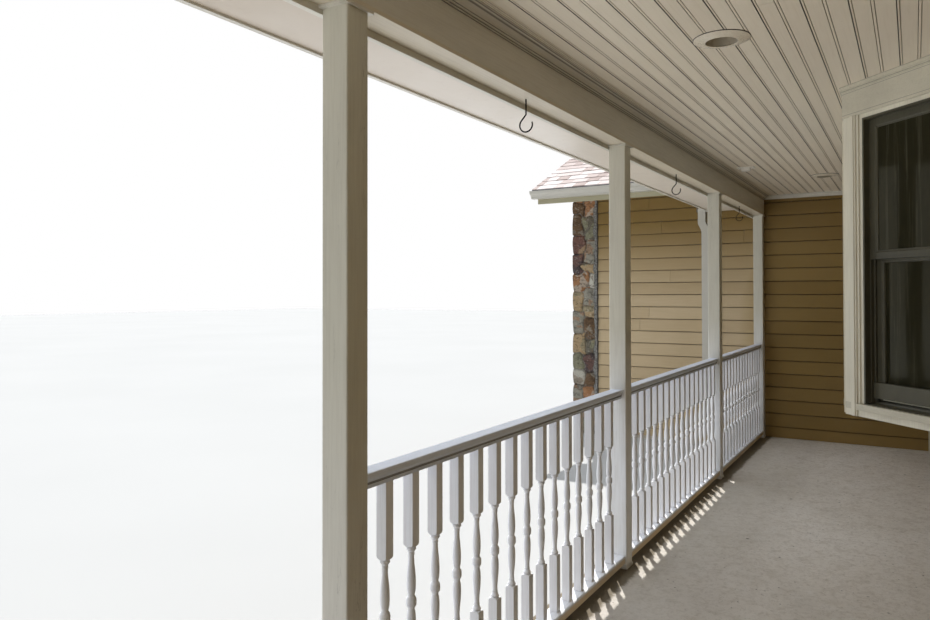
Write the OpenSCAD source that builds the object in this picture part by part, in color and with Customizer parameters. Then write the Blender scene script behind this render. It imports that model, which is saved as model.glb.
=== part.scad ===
// Front porch of a house, with turned balusters, a bay window and the wall at its far end.
// The front faces -Y, the house stands at +Y and the far end wall at -X.
// The origin lies under the middle of the floor slab, at ground level. All sizes are in millimetres.

/* [Floor] */
// Thickness of the floor slab, from the ground to the porch floor
slab_t = 150; // [100:10:300]
// How far the slab runs out past the posts
slab_edge = 75; // [40:5:200]

/* [Porch] */
// Clear depth from the house siding to the posts
clear_depth = 1463; // [1200:1:2400]
// Height of the ceiling above the floor
ceiling_h = 2405; // [2150:5:2800]
// How far the beam hangs below the ceiling
beam_drop = 200; // [150:5:300]
// Post to post distance at the open entry
entry_span = 2210; // [1600:5:2600]
// Post to post distance of the first railed bay
near_span = 2210; // [1400:5:2600]
// Post to post distance of the second railed bay
middle_span = 2180; // [1400:5:2600]
// Post to post distance of the railed bay at the end wall
far_span = 1908; // [1400:1:2600]

/* [Posts] */
// Side of a square post
post_w = 89; // [80:1:140]
// Radius of a post's rounded edges
post_round = 5; // [3:1:20]
// How far the shoe stands out past a post
shoe_out = 4; // [2:1:20]
// Thickness of the shoe under a post
shoe_t = 14; // [8:1:30]
// How far the cap plate stands out past a post, along the beam
cap_out = 15; // [6:1:30]
// Thickness of the cap plate over a post
cap_t = 8; // [6:1:20]

/* [Beam and eave] */
// Thickness of the boards that clad the beam
board_t = 19; // [12:1:25]
// Thickness of the board under the beam
under_t = 12; // [10:1:20]
// How far the board under the beam stands out on the house side
nose_out = 8; // [3:1:15]
// How far the outer board hangs below the beam
lip_drop = 22; // [10:1:40]
// Width of the soffit, from the beam's outer board to the fascia
soffit_w = 409; // [250:1:700]
// How far the soffit lies below the ceiling
soffit_drop = 125; // [100:5:150]
// Thickness of the soffit panel
soffit_t = 10; // [6:1:20]
// Thickness of a fascia board
fascia_t = 20; // [15:1:30]
// How far the fascia hangs below the soffit
fascia_drop = 8; // [4:1:40]
// Height of the fascia board
fascia_h = 153; // [140:1:240]

/* [Ceiling] */
// Thickness of the ceiling boards
ceiling_t = 14; // [10:1:25]
// Height of the crown moulding on the beam
crown_h = 45; // [30:1:70]
// How far the crown moulding stands out from the beam
crown_w = 50; // [30:1:70]
// Height of the small moulding round the walls
cove_h = 40; // [20:1:50]
// How far the small moulding stands out from the walls
cove_w = 22; // [12:1:40]
// Width over the trim ring of a recessed light
light_d = 210; // [160:5:240]
// Distance of the two lights from the end wall
light_far = 1125; // [600:5:1800]
light_near = 4960; // [3600:5:6000]
// Distance of the lights from the house siding
light_q = 808; // [500:1:1100]
// Distance of the small ceiling fixture from the end wall
fixture_far = 1850; // [1400:10:2400]
// Distance of the small ceiling fixture from the posts
fixture_in = 171; // [120:1:400]
// Length of the small ceiling fixture
fixture_len = 124; // [80:1:160]

/* [Roof] */
// Slope of the porch roof, in degrees
roof_angle = 18; // [12:1:24]
// Thickness of the roof boarding
deck_t = 16; // [12:1:25]
// Thickness of the shingles
shingle_t = 12; // [6:1:20]
// How far the roof's edge runs out over the gutter
drip_out = 25; // [10:1:40]
// Height of the rake board at the open end
rake_h = 140; // [100:5:200]

/* [Railing] */
// Height of the railing above the floor
rail_h = 925; // [860:5:1100]
// Width of the moulded top rail
rail_w = 61; // [52:1:78]
// Height of the moulded top rail
rail_t = 46; // [38:1:62]
// Width of the bottom rail
foot_rail_w = 74; // [50:1:78]
// Height of the bottom rail
foot_rail_t = 38; // [30:1:60]
// Gap between the floor and the bottom rail
foot_gap = 28; // [18:1:100]
// Side of a baluster's square blocks
baluster_w = 35; // [28:1:45]
// Greatest distance from baluster to baluster in the first railed bay
near_pitch = 134; // [100:1:150]
// Greatest distance from baluster to baluster in the other bays and at the porch's end
baluster_pitch = 125; // [100:1:150]
// Width of those bays' end gaps, as a share of the distance from baluster to baluster
end_share = 0.5; // [0.4:0.05:1]
// Share of a baluster's length in its lower square block
block_low = 0.3; // [0.2:0.005:0.4]
// Share of a baluster's length in its upper square block
block_high = 0.28; // [0.2:0.005:0.4]
// Length over which a block's corners are turned down
shoulder_h = 9; // [6:1:20]

/* [House walls] */
// Thickness of a wall behind its siding
wall_t = 140; // [90:5:250]
// Thickness of the siding
siding_t = 14; // [10:1:20]
// Height of the siding's lower edge above the ground, out past the slab
siding_low = 40; // [10:5:100]
// Height of the house wall above the top of the porch roof
wall_over = 150; // [80:10:400]
// Width of the white board in the inside corner
corner_w = 80; // [50:1:120]
// How far the end wall runs out past the posts, to its stone corner
wing_out = 1969; // [1400:1:3000]

/* [Bay window] */
// Distance of the bay's near corner from the end wall
bay_near = 3952; // [3600:1:4600]
// Width of the bay's front
bay_front = 1500; // [1000:10:1700]
// How far the bay stands out from the house siding
bay_out = 463; // [350:1:600]
// Height of the bay's underside above the floor
bay_low = 853; // [700:1:1000]
// Thickness of the board under the bay
bay_floor_t = 30; // [22:1:60]
// Height of the bay's sill board
bay_sill_t = 30; // [20:1:40]
// How far the sill stands out between the casings
bay_sill_out = 14; // [6:1:30]
// Thickness of the bay's walls
bay_wall_t = 90; // [70:1:120]
// Height of the frieze over the bay's windows, with its small moulding
frieze_h = 150; // [100:1:220]
// How far the frieze stands out past the bay's walls
frieze_out = 6; // [2:1:20]
// Height of the small moulding over the frieze
frieze_cap_h = 26; // [15:1:50]
// Width of the casing beside a bay window
casing_w = 92; // [70:1:120]
// Distance from a bay window's edge to the middle of the moulding beside it
mould_in = 32; // [20:1:45]
// Width of the moulding beside a bay window
mould_w = 36; // [20:1:40]
// How far the moulding beside a bay window stands out
mould_out = 10; // [6:1:13]
// Width of the white frame round a window
jamb_w = 25; // [15:1:40]
// Width of a sash's stiles and rails
sash_w = 42; // [30:1:60]
// Height of a lower sash's bottom rail
sash_foot = 102; // [60:1:130]

/* [Wing] */
// Width of the stone corner along the end wall
stone_w = 300; // [200:10:500]
// Thickness of the stone veneer
stone_t = 40; // [30:1:60]
// Length of the wing's gable front, from the back of the siding
wing_depth = 600; // [500:10:900]
// How far the wing's eave stands out from its wall
eave_out = 487; // [250:1:650]
// How far the wing's soffit lies above the porch ceiling
eave_rise = 85; // [40:5:120]
// How far the wing's fascia hangs below its soffit
eave_drop = 77; // [10:1:100]
// Height of the wing's fascia
eave_fascia_h = 160; // [120:5:200]
// How far the wing's roof runs out past its fascia
eave_drip = 55; // [10:1:90]
// Height of the wing's gutter
eave_gutter_h = 82; // [70:1:130]
// How far the wing's rake board stands out from its stone front
rake_out = 200; // [60:5:400]
// How far the wing's roof and gutter run past its rake board
rake_drip = 47; // [10:1:90]
// Slope of the wing's roof, in degrees
eave_angle = 25.5; // [20:0.5:40]
// Gap between the porch's gutter and the wing's eave
wing_gap = 10; // [5:1:60]

/* [Gutters] */
// Width of a gutter
gutter_w = 120; // [100:1:150]
// Height of a gutter
gutter_h = 115; // [90:1:150]
// Thickness of a gutter's sheet
gutter_t = 3; // [2:0.5:5]
// Width of the downspout
pipe_w = 76; // [60:1:90]
// Depth of the downspout
pipe_d = 54; // [45:1:80]
// Gap between the downspout and the siding
pipe_gap = 8; // [2:1:20]
// Distance from the fascia to the middle of the downspout's top
pipe_off = 62; // [45:1:75]
// How far the downspout steps back towards the porch below its top
pipe_jog = 36; // [10:1:60]
// Length of the downspout above its step
pipe_head = 150; // [80:5:200]
// Length of the kick-out at the downspout's foot
pipe_kick = 110; // [60:5:160]

/* [Hooks] */
// Radius of a plant hook's loop
hook_r = 28; // [20:1:40]
// Length of a plant hook's shank
hook_shank = 62; // [45:1:110]
// Distance from the shank's foot to the loop's middle, as a share of the radius
hook_neck = 1.5; // [1.2:0.1:2]
// Thickness of a plant hook's wire
hook_wire = 6; // [4:0.5:8]

/* [Hidden] */

// Heights above the ground
z_floor = slab_t;
z_ceiling = z_floor + ceiling_h;
z_beam = z_ceiling - beam_drop;
z_soffit = z_ceiling - soffit_drop;
z_fascia_top = z_soffit - fascia_drop + fascia_h;

// Places along the porch, from the end wall's siding outward
span_sum = far_span + middle_span + near_span + entry_span;
slab_len = shoe_out + post_w + span_sum + slab_edge;
x_wall = -slab_len / 2;
x_open = slab_len / 2;
x_post_5 = x_wall + shoe_out + post_w / 2;
x_post_4 = x_post_5 + far_span;
x_post_3 = x_post_4 + middle_span;
x_post_2 = x_post_3 + near_span;
x_post_1 = x_post_2 + entry_span;
post_xs = [x_post_1, x_post_2, x_post_3, x_post_4, x_post_5];
x_end_face = x_post_1 + post_w / 2;

// Places across the porch
slab_depth = clear_depth + post_w + slab_edge;
y_wall = slab_depth / 2;
y_inside = y_wall + siding_t + wall_t;
y_post_in = y_wall - clear_depth;
y_post_out = y_post_in - post_w;
y_post = y_post_in - post_w / 2;
y_beam_out = y_post_out - board_t;
y_fascia_in = y_beam_out - soffit_w;
y_fascia = y_fascia_in - fascia_t;
y_gutter = y_fascia - gutter_w;

// Slopes of the porch roof, as heights over the fascia
function roof_z(y) = z_fascia_top + (y - y_fascia) * tan(roof_angle);
z_wall_top = roof_z(y_wall) + deck_t + shingle_t + wall_over;

// The end wall and the wing
x_core = x_wall - siding_t;
x_back = x_core - wall_t;
y_stone = y_post_out - wing_out;
y_wing_stop = y_gutter - wing_gap;
y_siding_step = -slab_depth / 2;
z_eave = z_ceiling + eave_rise;
x_wing = x_core - wing_depth;
x_eave = x_wall + eave_out;
x_eave_out = x_eave + fascia_t;
x_wing_edge = x_eave_out + eave_drip;
y_rake = y_stone - rake_out;
y_wing_edge = y_rake - rake_drip;
z_eave_low = z_eave - eave_drop;
z_eave_top = z_eave_low + eave_fascia_h;

// Height of the wing roof's underside
function wing_z(x) = z_eave_top + (x_eave_out - x) * tan(eave_angle);

// The bay window's corners, from the house wall out and back, seen from above
x_bay_a = x_wall + bay_near + bay_out;
x_bay_b = x_wall + bay_near;
x_bay_c = x_bay_b - bay_front;
x_bay_d = x_bay_c - bay_out;
z_bay = z_floor + bay_low;
z_bay_sill = z_bay + bay_floor_t;
z_bay_window = z_bay_sill + bay_sill_t;
z_bay_head = z_ceiling - frieze_h;
flank_len = bay_out * sqrt(2);

// A profile drawn in Y and Z, run along X from x0 to x1
module run_x(x0, x1) {
  translate([x0, 0, 0]) rotate([90, 0, 90]) linear_extrude(x1 - x0) children();
}

// A profile drawn in X and Z, run along Y from y0 to y1
module run_y(y0, y1) {
  translate([0, y1, 0]) rotate([90, 0, 0]) linear_extrude(y1 - y0) children();
}

// A box given by its lowest and highest corners
module span_box(low, high) {
  translate(low) cube(high - low);
}

// A centred square with rounded corners, each made of four short flats
module round_square(w, r) {
  m = w / 2 - r;
  polygon([
    for (c = [[m, m, 0], [-m, m, 90], [-m, -m, 180], [m, -m, 270]])
      for (i = [0 : 4])
        let (a = c[2] + i * 22.5) [c[0] + r * cos(a), c[1] + r * sin(a)]
  ]);
}

// The floor

module slab() {
  color("#8d8780")
    span_box([x_wall, -slab_depth / 2, 0], [x_open, y_wall, z_floor]);
}

// The posts

module post(x) {
  color("#d8d5cf")
    translate([x, y_post, z_floor + shoe_t])
      linear_extrude(ceiling_h - beam_drop - shoe_t - cap_t) round_square(post_w, post_round);
}

// The shoes have a straight foot and a narrower top
module post_shoes() {
  color("#cfcbc3")
    for (x = post_xs)
      translate([x, y_post, z_floor]) {
        linear_extrude(shoe_t * 0.7) round_square(post_w + 2 * shoe_out, post_round);
        linear_extrude(shoe_t) round_square(post_w + shoe_out, post_round);
      }
}

// The caps fill the beam's width between its lip and the edge of the board under it
module post_caps() {
  color("#cfcbc3")
    for (x = post_xs)
      let (x1 = min(x + post_w / 2 + cap_out, x_end_face), x0 = max(x - post_w / 2 - cap_out, x_wall))
        span_box([x0, y_post_out, z_beam - cap_t], [x1, y_post_in + nose_out, z_beam]);
}

// The beam over the posts

module beam_core() {
  color("#b9aea0")
    span_box([x_wall, y_post_out, z_beam + under_t], [x_end_face, y_post_in - board_t, z_ceiling + ceiling_t]);
}

module beam_inner_board() {
  color("#a99c8b")
    span_box([x_wall, y_post_in - board_t, z_beam + under_t], [x_end_face, y_post_in, z_ceiling + ceiling_t]);
}

module beam_under_board() {
  color("#c4b9a8")
    span_box([x_wall, y_post_out, z_beam], [x_end_face, y_post_in + nose_out, z_beam + under_t]);
}

module beam_outer_board() {
  color("#d5d0c8")
    span_box([x_wall, y_beam_out, z_beam - lip_drop], [x_end_face, y_post_out, z_ceiling]);
}

module end_beam() {
  color("#b9aea0")
    span_box([x_end_face - post_w, y_post_in + nose_out, z_beam], [x_end_face, y_wall, z_ceiling]);
}

// The ceiling and what hangs on it

module light_places() {
  for (d = [light_far, light_near])
    translate([x_wall + d, y_wall - light_q, z_ceiling]) children();
}

module ceiling() {
  can_d = light_d * 0.78;
  color("#b5aa9c")
    difference() {
      span_box([x_wall, y_post_in, z_ceiling], [x_end_face, y_wall, z_ceiling + ceiling_t]);
      light_places() translate([0, 0, -1]) cylinder(h = ceiling_t + 2, d = can_d, $fn = 64);
    }
}

// Outline of a stepped crown moulding, out from the wall at 0 and down from the ceiling at 0
function crown_outline(w, h) = concat(
  [[0, 0], [w, 0], [w, -h * 0.14], [w * 0.86, -h * 0.2]],
  [for (i = [0 : 6]) let (a = i * 15) [w * (0.34 + 0.46 * (1 - sin(a))), -h * (0.26 + 0.42 * (1 - cos(a)))]],
  [[w * 0.22, -h * 0.74], [w * 0.22, -h * 0.86], [w * 0.1, -h * 0.9], [w * 0.1, -h], [0, -h]]
);

module crown_moulding() {
  color("#b3a797")
    run_x(x_wall + cove_w, x_end_face - post_w)
      translate([y_post_in, z_ceiling]) polygon(crown_outline(crown_w, crown_h));
}

// Outline of the small moulding, as above
function cove_outline(w, h) = [
  [0, 0], [w, 0], [w, -h * 0.25], [w * 0.8, -h * 0.3], [w * 0.45, -h * 0.55],
  [w * 0.35, -h * 0.8], [w * 0.2, -h * 0.85], [w * 0.2, -h], [0, -h]
];

module wall_moulding() {
  color("#b3a797") {
    run_y(y_post_in, y_wall) translate([x_wall, z_ceiling]) polygon(cove_outline(cove_w, cove_h));
    run_x(x_wall + cove_w, x_bay_d)
      translate([y_wall, z_ceiling]) mirror([1, 0]) polygon(cove_outline(cove_w, cove_h));
    run_x(x_bay_a, x_end_face - post_w)
      translate([y_wall, z_ceiling]) mirror([1, 0]) polygon(cove_outline(cove_w, cove_h));
  }
}

module downlight_trims() {
  can_d = light_d * 0.78;
  can_t = 2;
  can_h = 90;
  dish = 14;
  mouth_d = light_d * 0.56;
  color("#cfc8bd")
    light_places()
      rotate_extrude($fn = 64)
        polygon([
          [mouth_d / 2, 1 - dish], [mouth_d / 2 + 3, -dish], [light_d / 2 - 3, -4], [light_d / 2, -3],
          [light_d / 2, 0], [can_d / 2, 0], [can_d / 2, can_h], [0, can_h], [0, can_h - can_t],
          [can_d / 2 - can_t, can_h - can_t], [can_d / 2 - can_t, 0], [mouth_d / 2, 3 - dish]
        ]);
}

module downlight_lamps() {
  can_h = 90;
  lamp_d = light_d * 0.45;
  color("#e6e2d8")
    light_places()
      translate([0, 0, can_h - 2 - 45])
        rotate_extrude($fn = 48)
          polygon([[0, 0], [lamp_d / 2 - 6, 2], [lamp_d / 2, 8], [lamp_d / 2 - 2, 14], [18, 45], [0, 45]]);
}

module ceiling_fixture() {
  color("#cfc8bd")
    translate([x_wall + fixture_far, y_post_in + fixture_in, z_ceiling]) {
      span_box([-fixture_len * 0.36, -fixture_len / 2, -6], [fixture_len * 0.36, fixture_len / 2, 0]);
      span_box([-fixture_len * 0.2, -fixture_len / 4, -28], [fixture_len * 0.2, fixture_len / 4, -6]);
    }
}

// The eave

module soffit() {
  color("#cac4ba")
    span_box([x_wall, y_fascia_in, z_soffit], [x_end_face + fascia_t, y_beam_out, z_soffit + soffit_t]);
}

module fascia() {
  color("#d9d6d0")
    span_box([x_wall, y_fascia, z_soffit - fascia_drop], [x_end_face + fascia_t, y_fascia_in, z_fascia_top]);
}

// Outline of a gutter, out from the fascia at 0 and up from its bottom at 0
function gutter_outline(w, h, t) = [
  [0, 0], [w * 0.6, 0], [w * 0.66, h * 0.28], [w * 0.76, h * 0.46], [w * 0.93, h * 0.6], [w, h * 0.76],
  [w, h], [w - 12, h], [w - 12, h - t], [w - t, h - t], [w - t, h * 0.77], [w * 0.93 - t, h * 0.6 + t],
  [w * 0.74 - t, h * 0.46 + t], [w * 0.66 - t, h * 0.28 + t], [w * 0.6 - t, t], [t, t], [t, h], [0, h]
];

// The closed end of a gutter
function gutter_end(w, h) = [
  [0, 0], [w * 0.6, 0], [w * 0.66, h * 0.28], [w * 0.76, h * 0.46], [w * 0.93, h * 0.6], [w, h * 0.76],
  [w, h], [0, h]
];

module gutter() {
  z_gutter = z_fascia_top - gutter_h;
  x0 = x_wall + 2;
  x1 = x_end_face + fascia_t;
  color("#dedbd6") {
    run_x(x0 + gutter_t, x1 - gutter_t)
      translate([y_fascia, z_gutter]) mirror([1, 0]) polygon(gutter_outline(gutter_w, gutter_h, gutter_t));
    for (x = [x0, x1 - gutter_t])
      run_x(x, x + gutter_t)
        translate([y_fascia, z_gutter]) mirror([1, 0]) polygon(gutter_end(gutter_w, gutter_h));
  }
}

// Half widths of a mitred joint in a pipe of half width h, where its path turns by the angle a
function mitre_len(h, a) = h * tan(a / 2);

// The downspout's outline seen from the end, as wide as 2 * h, with its open ends run out by e
function pipe_outline(h, e) = let (
    y_top = y_fascia - pipe_off, y_low = y_top + pipe_jog, z_top = z_fascia_top - gutter_h,
    z1 = z_top - pipe_head, z2 = z1 - 2 * pipe_jog, turn = atan(0.5), k = mitre_len(h, turn),
    z3 = pipe_kick + pipe_w, kk = mitre_len(h, 45), s = sqrt(0.5),
    y_end = y_low - (pipe_kick + e) * s, z_end = z3 - (pipe_kick + e) * s
  ) [
    [y_top - h, z_top + e], [y_top - h, z1 - k], [y_low - h, z2 - k], [y_low - h, z3 + kk],
    [y_end - h * s, z_end + h * s], [y_end + h * s, z_end - h * s],
    [y_low + h, z3 - kk], [y_low + h, z2 + k], [y_top + h, z1 + k], [y_top + h, z_top + e]
  ];

module downspout() {
  color("#dedbd6")
    difference() {
      run_x(x_wall + pipe_gap, x_wall + pipe_gap + pipe_d) polygon(pipe_outline(pipe_w / 2, 0));
      run_x(x_wall + pipe_gap + gutter_t, x_wall + pipe_gap + pipe_d - gutter_t)
        polygon(pipe_outline(pipe_w / 2 - gutter_t, 1));
    }
}

// The porch roof

module roof_deck() {
  color("#8a7a62")
    run_x(x_back, x_end_face + fascia_t)
      polygon([
        [y_fascia - drip_out, roof_z(y_fascia - drip_out)], [y_wall, roof_z(y_wall)],
        [y_wall, roof_z(y_wall) + deck_t], [y_fascia - drip_out, roof_z(y_fascia - drip_out) + deck_t]
      ]);
}

module roof_shingles() {
  color("#5c544d")
    run_x(x_back, x_end_face + fascia_t)
      polygon([
        [y_fascia - drip_out, roof_z(y_fascia - drip_out) + deck_t], [y_wall, roof_z(y_wall) + deck_t],
        [y_wall, roof_z(y_wall) + deck_t + shingle_t],
        [y_fascia - drip_out, roof_z(y_fascia - drip_out) + deck_t + shingle_t]
      ]);
}

module gable_panel() {
  color("#c9c3b8")
    run_x(x_end_face - board_t, x_end_face)
      polygon([
        [y_fascia_in, z_soffit + soffit_t], [y_beam_out, z_soffit + soffit_t],
        [y_beam_out, z_ceiling + ceiling_t], [y_wall, z_ceiling + ceiling_t],
        [y_wall, roof_z(y_wall)], [y_fascia_in, roof_z(y_fascia_in)]
      ]);
}

module rake_board() {
  color("#d9d6d0")
    run_x(x_end_face, x_end_face + fascia_t)
      polygon([
        [y_fascia_in, roof_z(y_fascia_in)], [y_fascia_in, z_soffit + soffit_t],
        [y_fascia_in + (rake_h - fascia_h + fascia_drop + soffit_t) / tan(roof_angle), z_soffit + soffit_t],
        [y_wall, roof_z(y_wall) - rake_h], [y_wall, roof_z(y_wall)]
      ]);
}

// The railing

// One side of the top rail, from its underside up to its flat top: a fillet, a cove and an upright edge.
// Shares of its half width and of its height
rail_side = [
  [0.64, 0], [0.64, 0.12], [0.7, 0.15], [0.7, 0.26], [0.63, 0.3], [0.66, 0.4], [0.73, 0.49], [0.84, 0.56],
  [0.97, 0.6], [1, 0.64], [1, 0.93], [0.93, 1]
];

// Outline of the top rail, centred, up from its underside
function rail_outline(w, h) = let (r = w / 2, n = len(rail_side)) concat(
  [for (p = rail_side) [p[0] * r, p[1] * h]],
  [for (i = [n - 1 : -1 : 0]) [-rail_side[i][0] * r, rail_side[i][1] * h]]
);

// Outline of the bottom rail, a plank with eased upper edges, centred, up from its underside
function foot_rail_outline(w, h) = let (r = w / 2, ease = h * 0.1) [
  [-r, 0], [r, 0], [r, h - ease], [r - ease, h], [-r + ease, h], [-r, h - ease]
];

z_rail = z_floor + rail_h - rail_t;
z_foot_rail = z_floor + foot_gap;
baluster_low = z_foot_rail + foot_rail_t;
baluster_len = z_rail - baluster_low;

module top_rails() {
  color("#dcd9d3")
    for (i = [1 : 3])
      run_x(post_xs[i + 1] + post_w / 2, post_xs[i] - post_w / 2)
        translate([y_post, z_rail]) polygon(rail_outline(rail_w, rail_t));
}

module bottom_rails() {
  color("#cfcac1")
    for (i = [1 : 3])
      run_x(post_xs[i + 1] + post_w / 2, post_xs[i] - post_w / 2)
        translate([y_post, z_foot_rail]) polygon(foot_rail_outline(foot_rail_w, foot_rail_t));
}

module end_rails() {
  color("#d6d2cb")
    translate([x_post_1, 0, 0]) {
      run_y(y_post_in, y_wall) translate([0, z_rail]) polygon(rail_outline(rail_w, rail_t));
      run_y(y_post_in, y_wall)
        translate([0, z_foot_rail]) polygon(foot_rail_outline(foot_rail_w, foot_rail_t));
    }
}

// The turned outline from a block to the middle ring: a cup, a bead, a narrow neck that swells to a long
// vase, and half of the middle ring. Shares of the block's half width and of the turned length
cup = [[0.74, 0], [0.74, 0.006], [0.88, 0.014], [0.88, 0.028], [0.62, 0.048]];
bead = [[0.56, 0.052], [0.56, 0.06], [0.6, 0.066], [0.6, 0.074]];
vase = [
  [0.54, 0.082], [0.52, 0.1], [0.55, 0.135], [0.63, 0.182], [0.72, 0.225], [0.79, 0.27],
  [0.82, 0.315], [0.82, 0.355], [0.79, 0.385], [0.72, 0.415], [0.6, 0.432]
];
ring = [[0.64, 0.438], [0.64, 0.448], [0.76, 0.456], [0.9, 0.468], [0.94, 0.485]];
turned_half = concat(cup, bead, vase, ring);

// A turned baluster that stands at the origin: a square stick, w wide and tall high, inside its turned outline
module baluster(w, tall) {
  low = tall * block_low;
  high = tall * (1 - block_high);
  r = w / 2;
  out = w;
  end_r = 0.92 * r;
  corner_r = r * sqrt(2);
  n = len(turned_half);
  up = [for (p = turned_half) [p[0] * r, low + p[1] * (high - low)]];
  down = [for (i = [n - 1 : -1 : 0]) [turned_half[i][0] * r, high - turned_half[i][1] * (high - low)]];
  bend = [for (a = [0 : 30 : 90]) [end_r + (corner_r - end_r) * cos(a), shoulder_h * (1 - sin(a))]];
  intersection() {
    translate([-r, -r, 0]) cube([w, w, tall]);
    rotate_extrude($fn = 24)
      polygon(concat(
        [[0, 0], [out, 0], [out, low - shoulder_h]],
        [for (p = bend) [p[0], low - p[1]]],
        up,
        down,
        [for (i = [len(bend) - 1 : -1 : 0]) [bend[i][0], high + bend[i][1]]],
        [[out, high + shoulder_h], [out, tall], [0, tall]]
      ));
  }
}

// The balusters' distances from one end of a clear length. They stand at most pitch apart, and the gap at
// each end is the share part of that
function baluster_places(clear, pitch, part) =
  let (gaps = ceil(clear / pitch - 2 * part), step = clear / (gaps + 2 * part))
    [for (i = [0 : gaps]) (i + part) * step];

// A row of balusters between two posts' centres, along X
module baluster_row(x0, x1, pitch, part) {
  color("#dcdad6")
    for (d = baluster_places(x1 - x0 - post_w, pitch, part))
      translate([x0 + post_w / 2 + d, y_post, baluster_low]) baluster(baluster_w, baluster_len);
}

module end_balusters() {
  color("#dcdad6")
    for (d = baluster_places(clear_depth, baluster_pitch, end_share))
      translate([x_post_1, y_post_in + d, baluster_low]) baluster(baluster_w, baluster_len);
}

// A wire hook under the beam: a shank that slants out to the side of an open ring
module plant_hook() {
  drop = hook_r * hook_neck;
  turn = acos(1 / hook_neck);
  slant = hook_r * tan(turn);
  translate([0, 0, -hook_shank]) cylinder(h = hook_shank, d = hook_wire, $fn = 24);
  translate([0, 0, -hook_shank - drop])
    rotate([90, 0, 90]) rotate([0, 0, 90 + turn]) {
      translate([hook_r, 0, 0])
        rotate([90, 0, 0]) cylinder(h = slant + hook_wire * 0.2, d = hook_wire, $fn = 24);
      rotate_extrude(angle = 290 - turn, $fn = 48) translate([hook_r, 0]) circle(d = hook_wire, $fn = 24);
    }
}

module plant_hooks() {
  color("#1c1b1a")
    for (i = [1 : 3])
      translate([(post_xs[i] + post_xs[i + 1]) / 2, y_post, z_beam]) plant_hook();
}

// The house wall and its bay window

module bay_plan(inset) {
  k = inset * tan(22.5);
  s = inset * sqrt(2);
  polygon([
    [x_bay_a - s, y_wall], [x_bay_b - k, y_wall - bay_out + inset],
    [x_bay_c + k, y_wall - bay_out + inset], [x_bay_d + s, y_wall]
  ]);
}

module house_wall() {
  s = bay_wall_t * sqrt(2);
  color("#bdb5a8")
    difference() {
      span_box([x_back, y_wall + siding_t, 0], [x_end_face + fascia_t, y_inside, z_wall_top]);
      span_box([x_bay_d + s, y_wall, z_bay_sill], [x_bay_a - s, y_inside + 1, z_bay_head]);
    }
}

module house_siding() {
  s = bay_wall_t * sqrt(2);
  color("#8f7c5c")
    difference() {
      span_box([x_wall, y_wall, 0], [x_end_face + fascia_t, y_wall + siding_t, z_wall_top]);
      span_box([x_wall - 1, y_wall - 1, -1], [x_open, y_wall + siding_t + 1, z_floor]);
      span_box([x_bay_d + s, y_wall - 1, z_bay_sill], [x_bay_a - s, y_wall + siding_t + 1, z_bay_head]);
    }
}

module bay_floor() {
  color("#d6d4ce") translate([0, 0, z_bay]) linear_extrude(bay_floor_t) bay_plan(0);
}

// The sill is flush at the bay's corners and stands out between the casings' mouldings
module bay_sill() {
  color("#d6d4ce") {
    translate([0, 0, z_bay_sill]) linear_extrude(bay_sill_t) bay_plan(0);
    for (i = [0 : 2])
      let (w = bay_faces[i][3] - 2 * casing_w + 2 * mould_in - mould_w)
        on_face(i) span_box([-w / 2, -bay_sill_out, -bay_sill_t], [w / 2, 1, 0]);
  }
}

// The frieze ends in a small stepped moulding under the ceiling
module bay_frieze() {
  step = frieze_cap_h / 3;
  color("#a39c8b")
    translate([0, 0, z_bay_head]) {
      linear_extrude(frieze_h) bay_plan(-frieze_out);
      for (i = [0 : 1])
        translate([0, 0, frieze_h - frieze_cap_h + i * step])
          linear_extrude(frieze_cap_h - i * step) bay_plan(-frieze_out - (i + 1) * step * 0.6);
    }
}

// A wall of the bay, given by its four corners seen from above
module bay_wall(corners) {
  translate([0, 0, z_bay_window]) linear_extrude(z_bay_head - z_bay_window) polygon(corners);
}

// The middle of each bay face, its direction and its length
bay_faces = [
  [(x_bay_a + x_bay_b) / 2, y_wall - bay_out / 2, 45, flank_len],
  [(x_bay_b + x_bay_c) / 2, y_wall - bay_out, 0, bay_front],
  [(x_bay_c + x_bay_d) / 2, y_wall - bay_out / 2, -45, flank_len]
];

// Places its children on a bay face: X runs along the face, -Y points out and Z starts at the window's sill
module on_face(i) {
  f = bay_faces[i];
  translate([f[0], f[1], z_bay_window]) rotate([0, 0, f[2]]) children();
}

window_h = z_bay_head - z_bay_window;

// The hole for a window in face i, as deep as d on both sides
module window_hole(i, d) {
  w = bay_faces[i][3] - 2 * casing_w;
  on_face(i) span_box([-w / 2, -d, 0], [w / 2, d, window_h - 1]);
}

// The corners of the bay's walls on the inside
bay_in_k = bay_wall_t * tan(22.5);
bay_in_s = bay_wall_t * sqrt(2);
y_bay_out = y_wall - bay_out;
y_bay_in = y_bay_out + bay_wall_t;
bay_in_a = [x_bay_a - bay_in_s, y_wall];
bay_in_b = [x_bay_b - bay_in_k, y_bay_in];
bay_in_c = [x_bay_c + bay_in_k, y_bay_in];
bay_in_d = [x_bay_d + bay_in_s, y_wall];

module bay_wall_near() {
  color("#c2bcae")
    difference() {
      bay_wall([[x_bay_a, y_wall], [x_bay_b, y_bay_out], bay_in_b, bay_in_a]);
      window_hole(0, 2 * bay_wall_t);
    }
}

module bay_wall_front() {
  color("#c2bcae")
    difference() {
      bay_wall([[x_bay_b, y_bay_out], [x_bay_c, y_bay_out], bay_in_c, bay_in_b]);
      window_hole(1, 2 * bay_wall_t);
    }
}

module bay_wall_far() {
  color("#c2bcae")
    difference() {
      bay_wall([[x_bay_c, y_bay_out], [x_bay_d, y_wall], bay_in_d, bay_in_c]);
      window_hole(2, 2 * bay_wall_t);
    }
}

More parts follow.
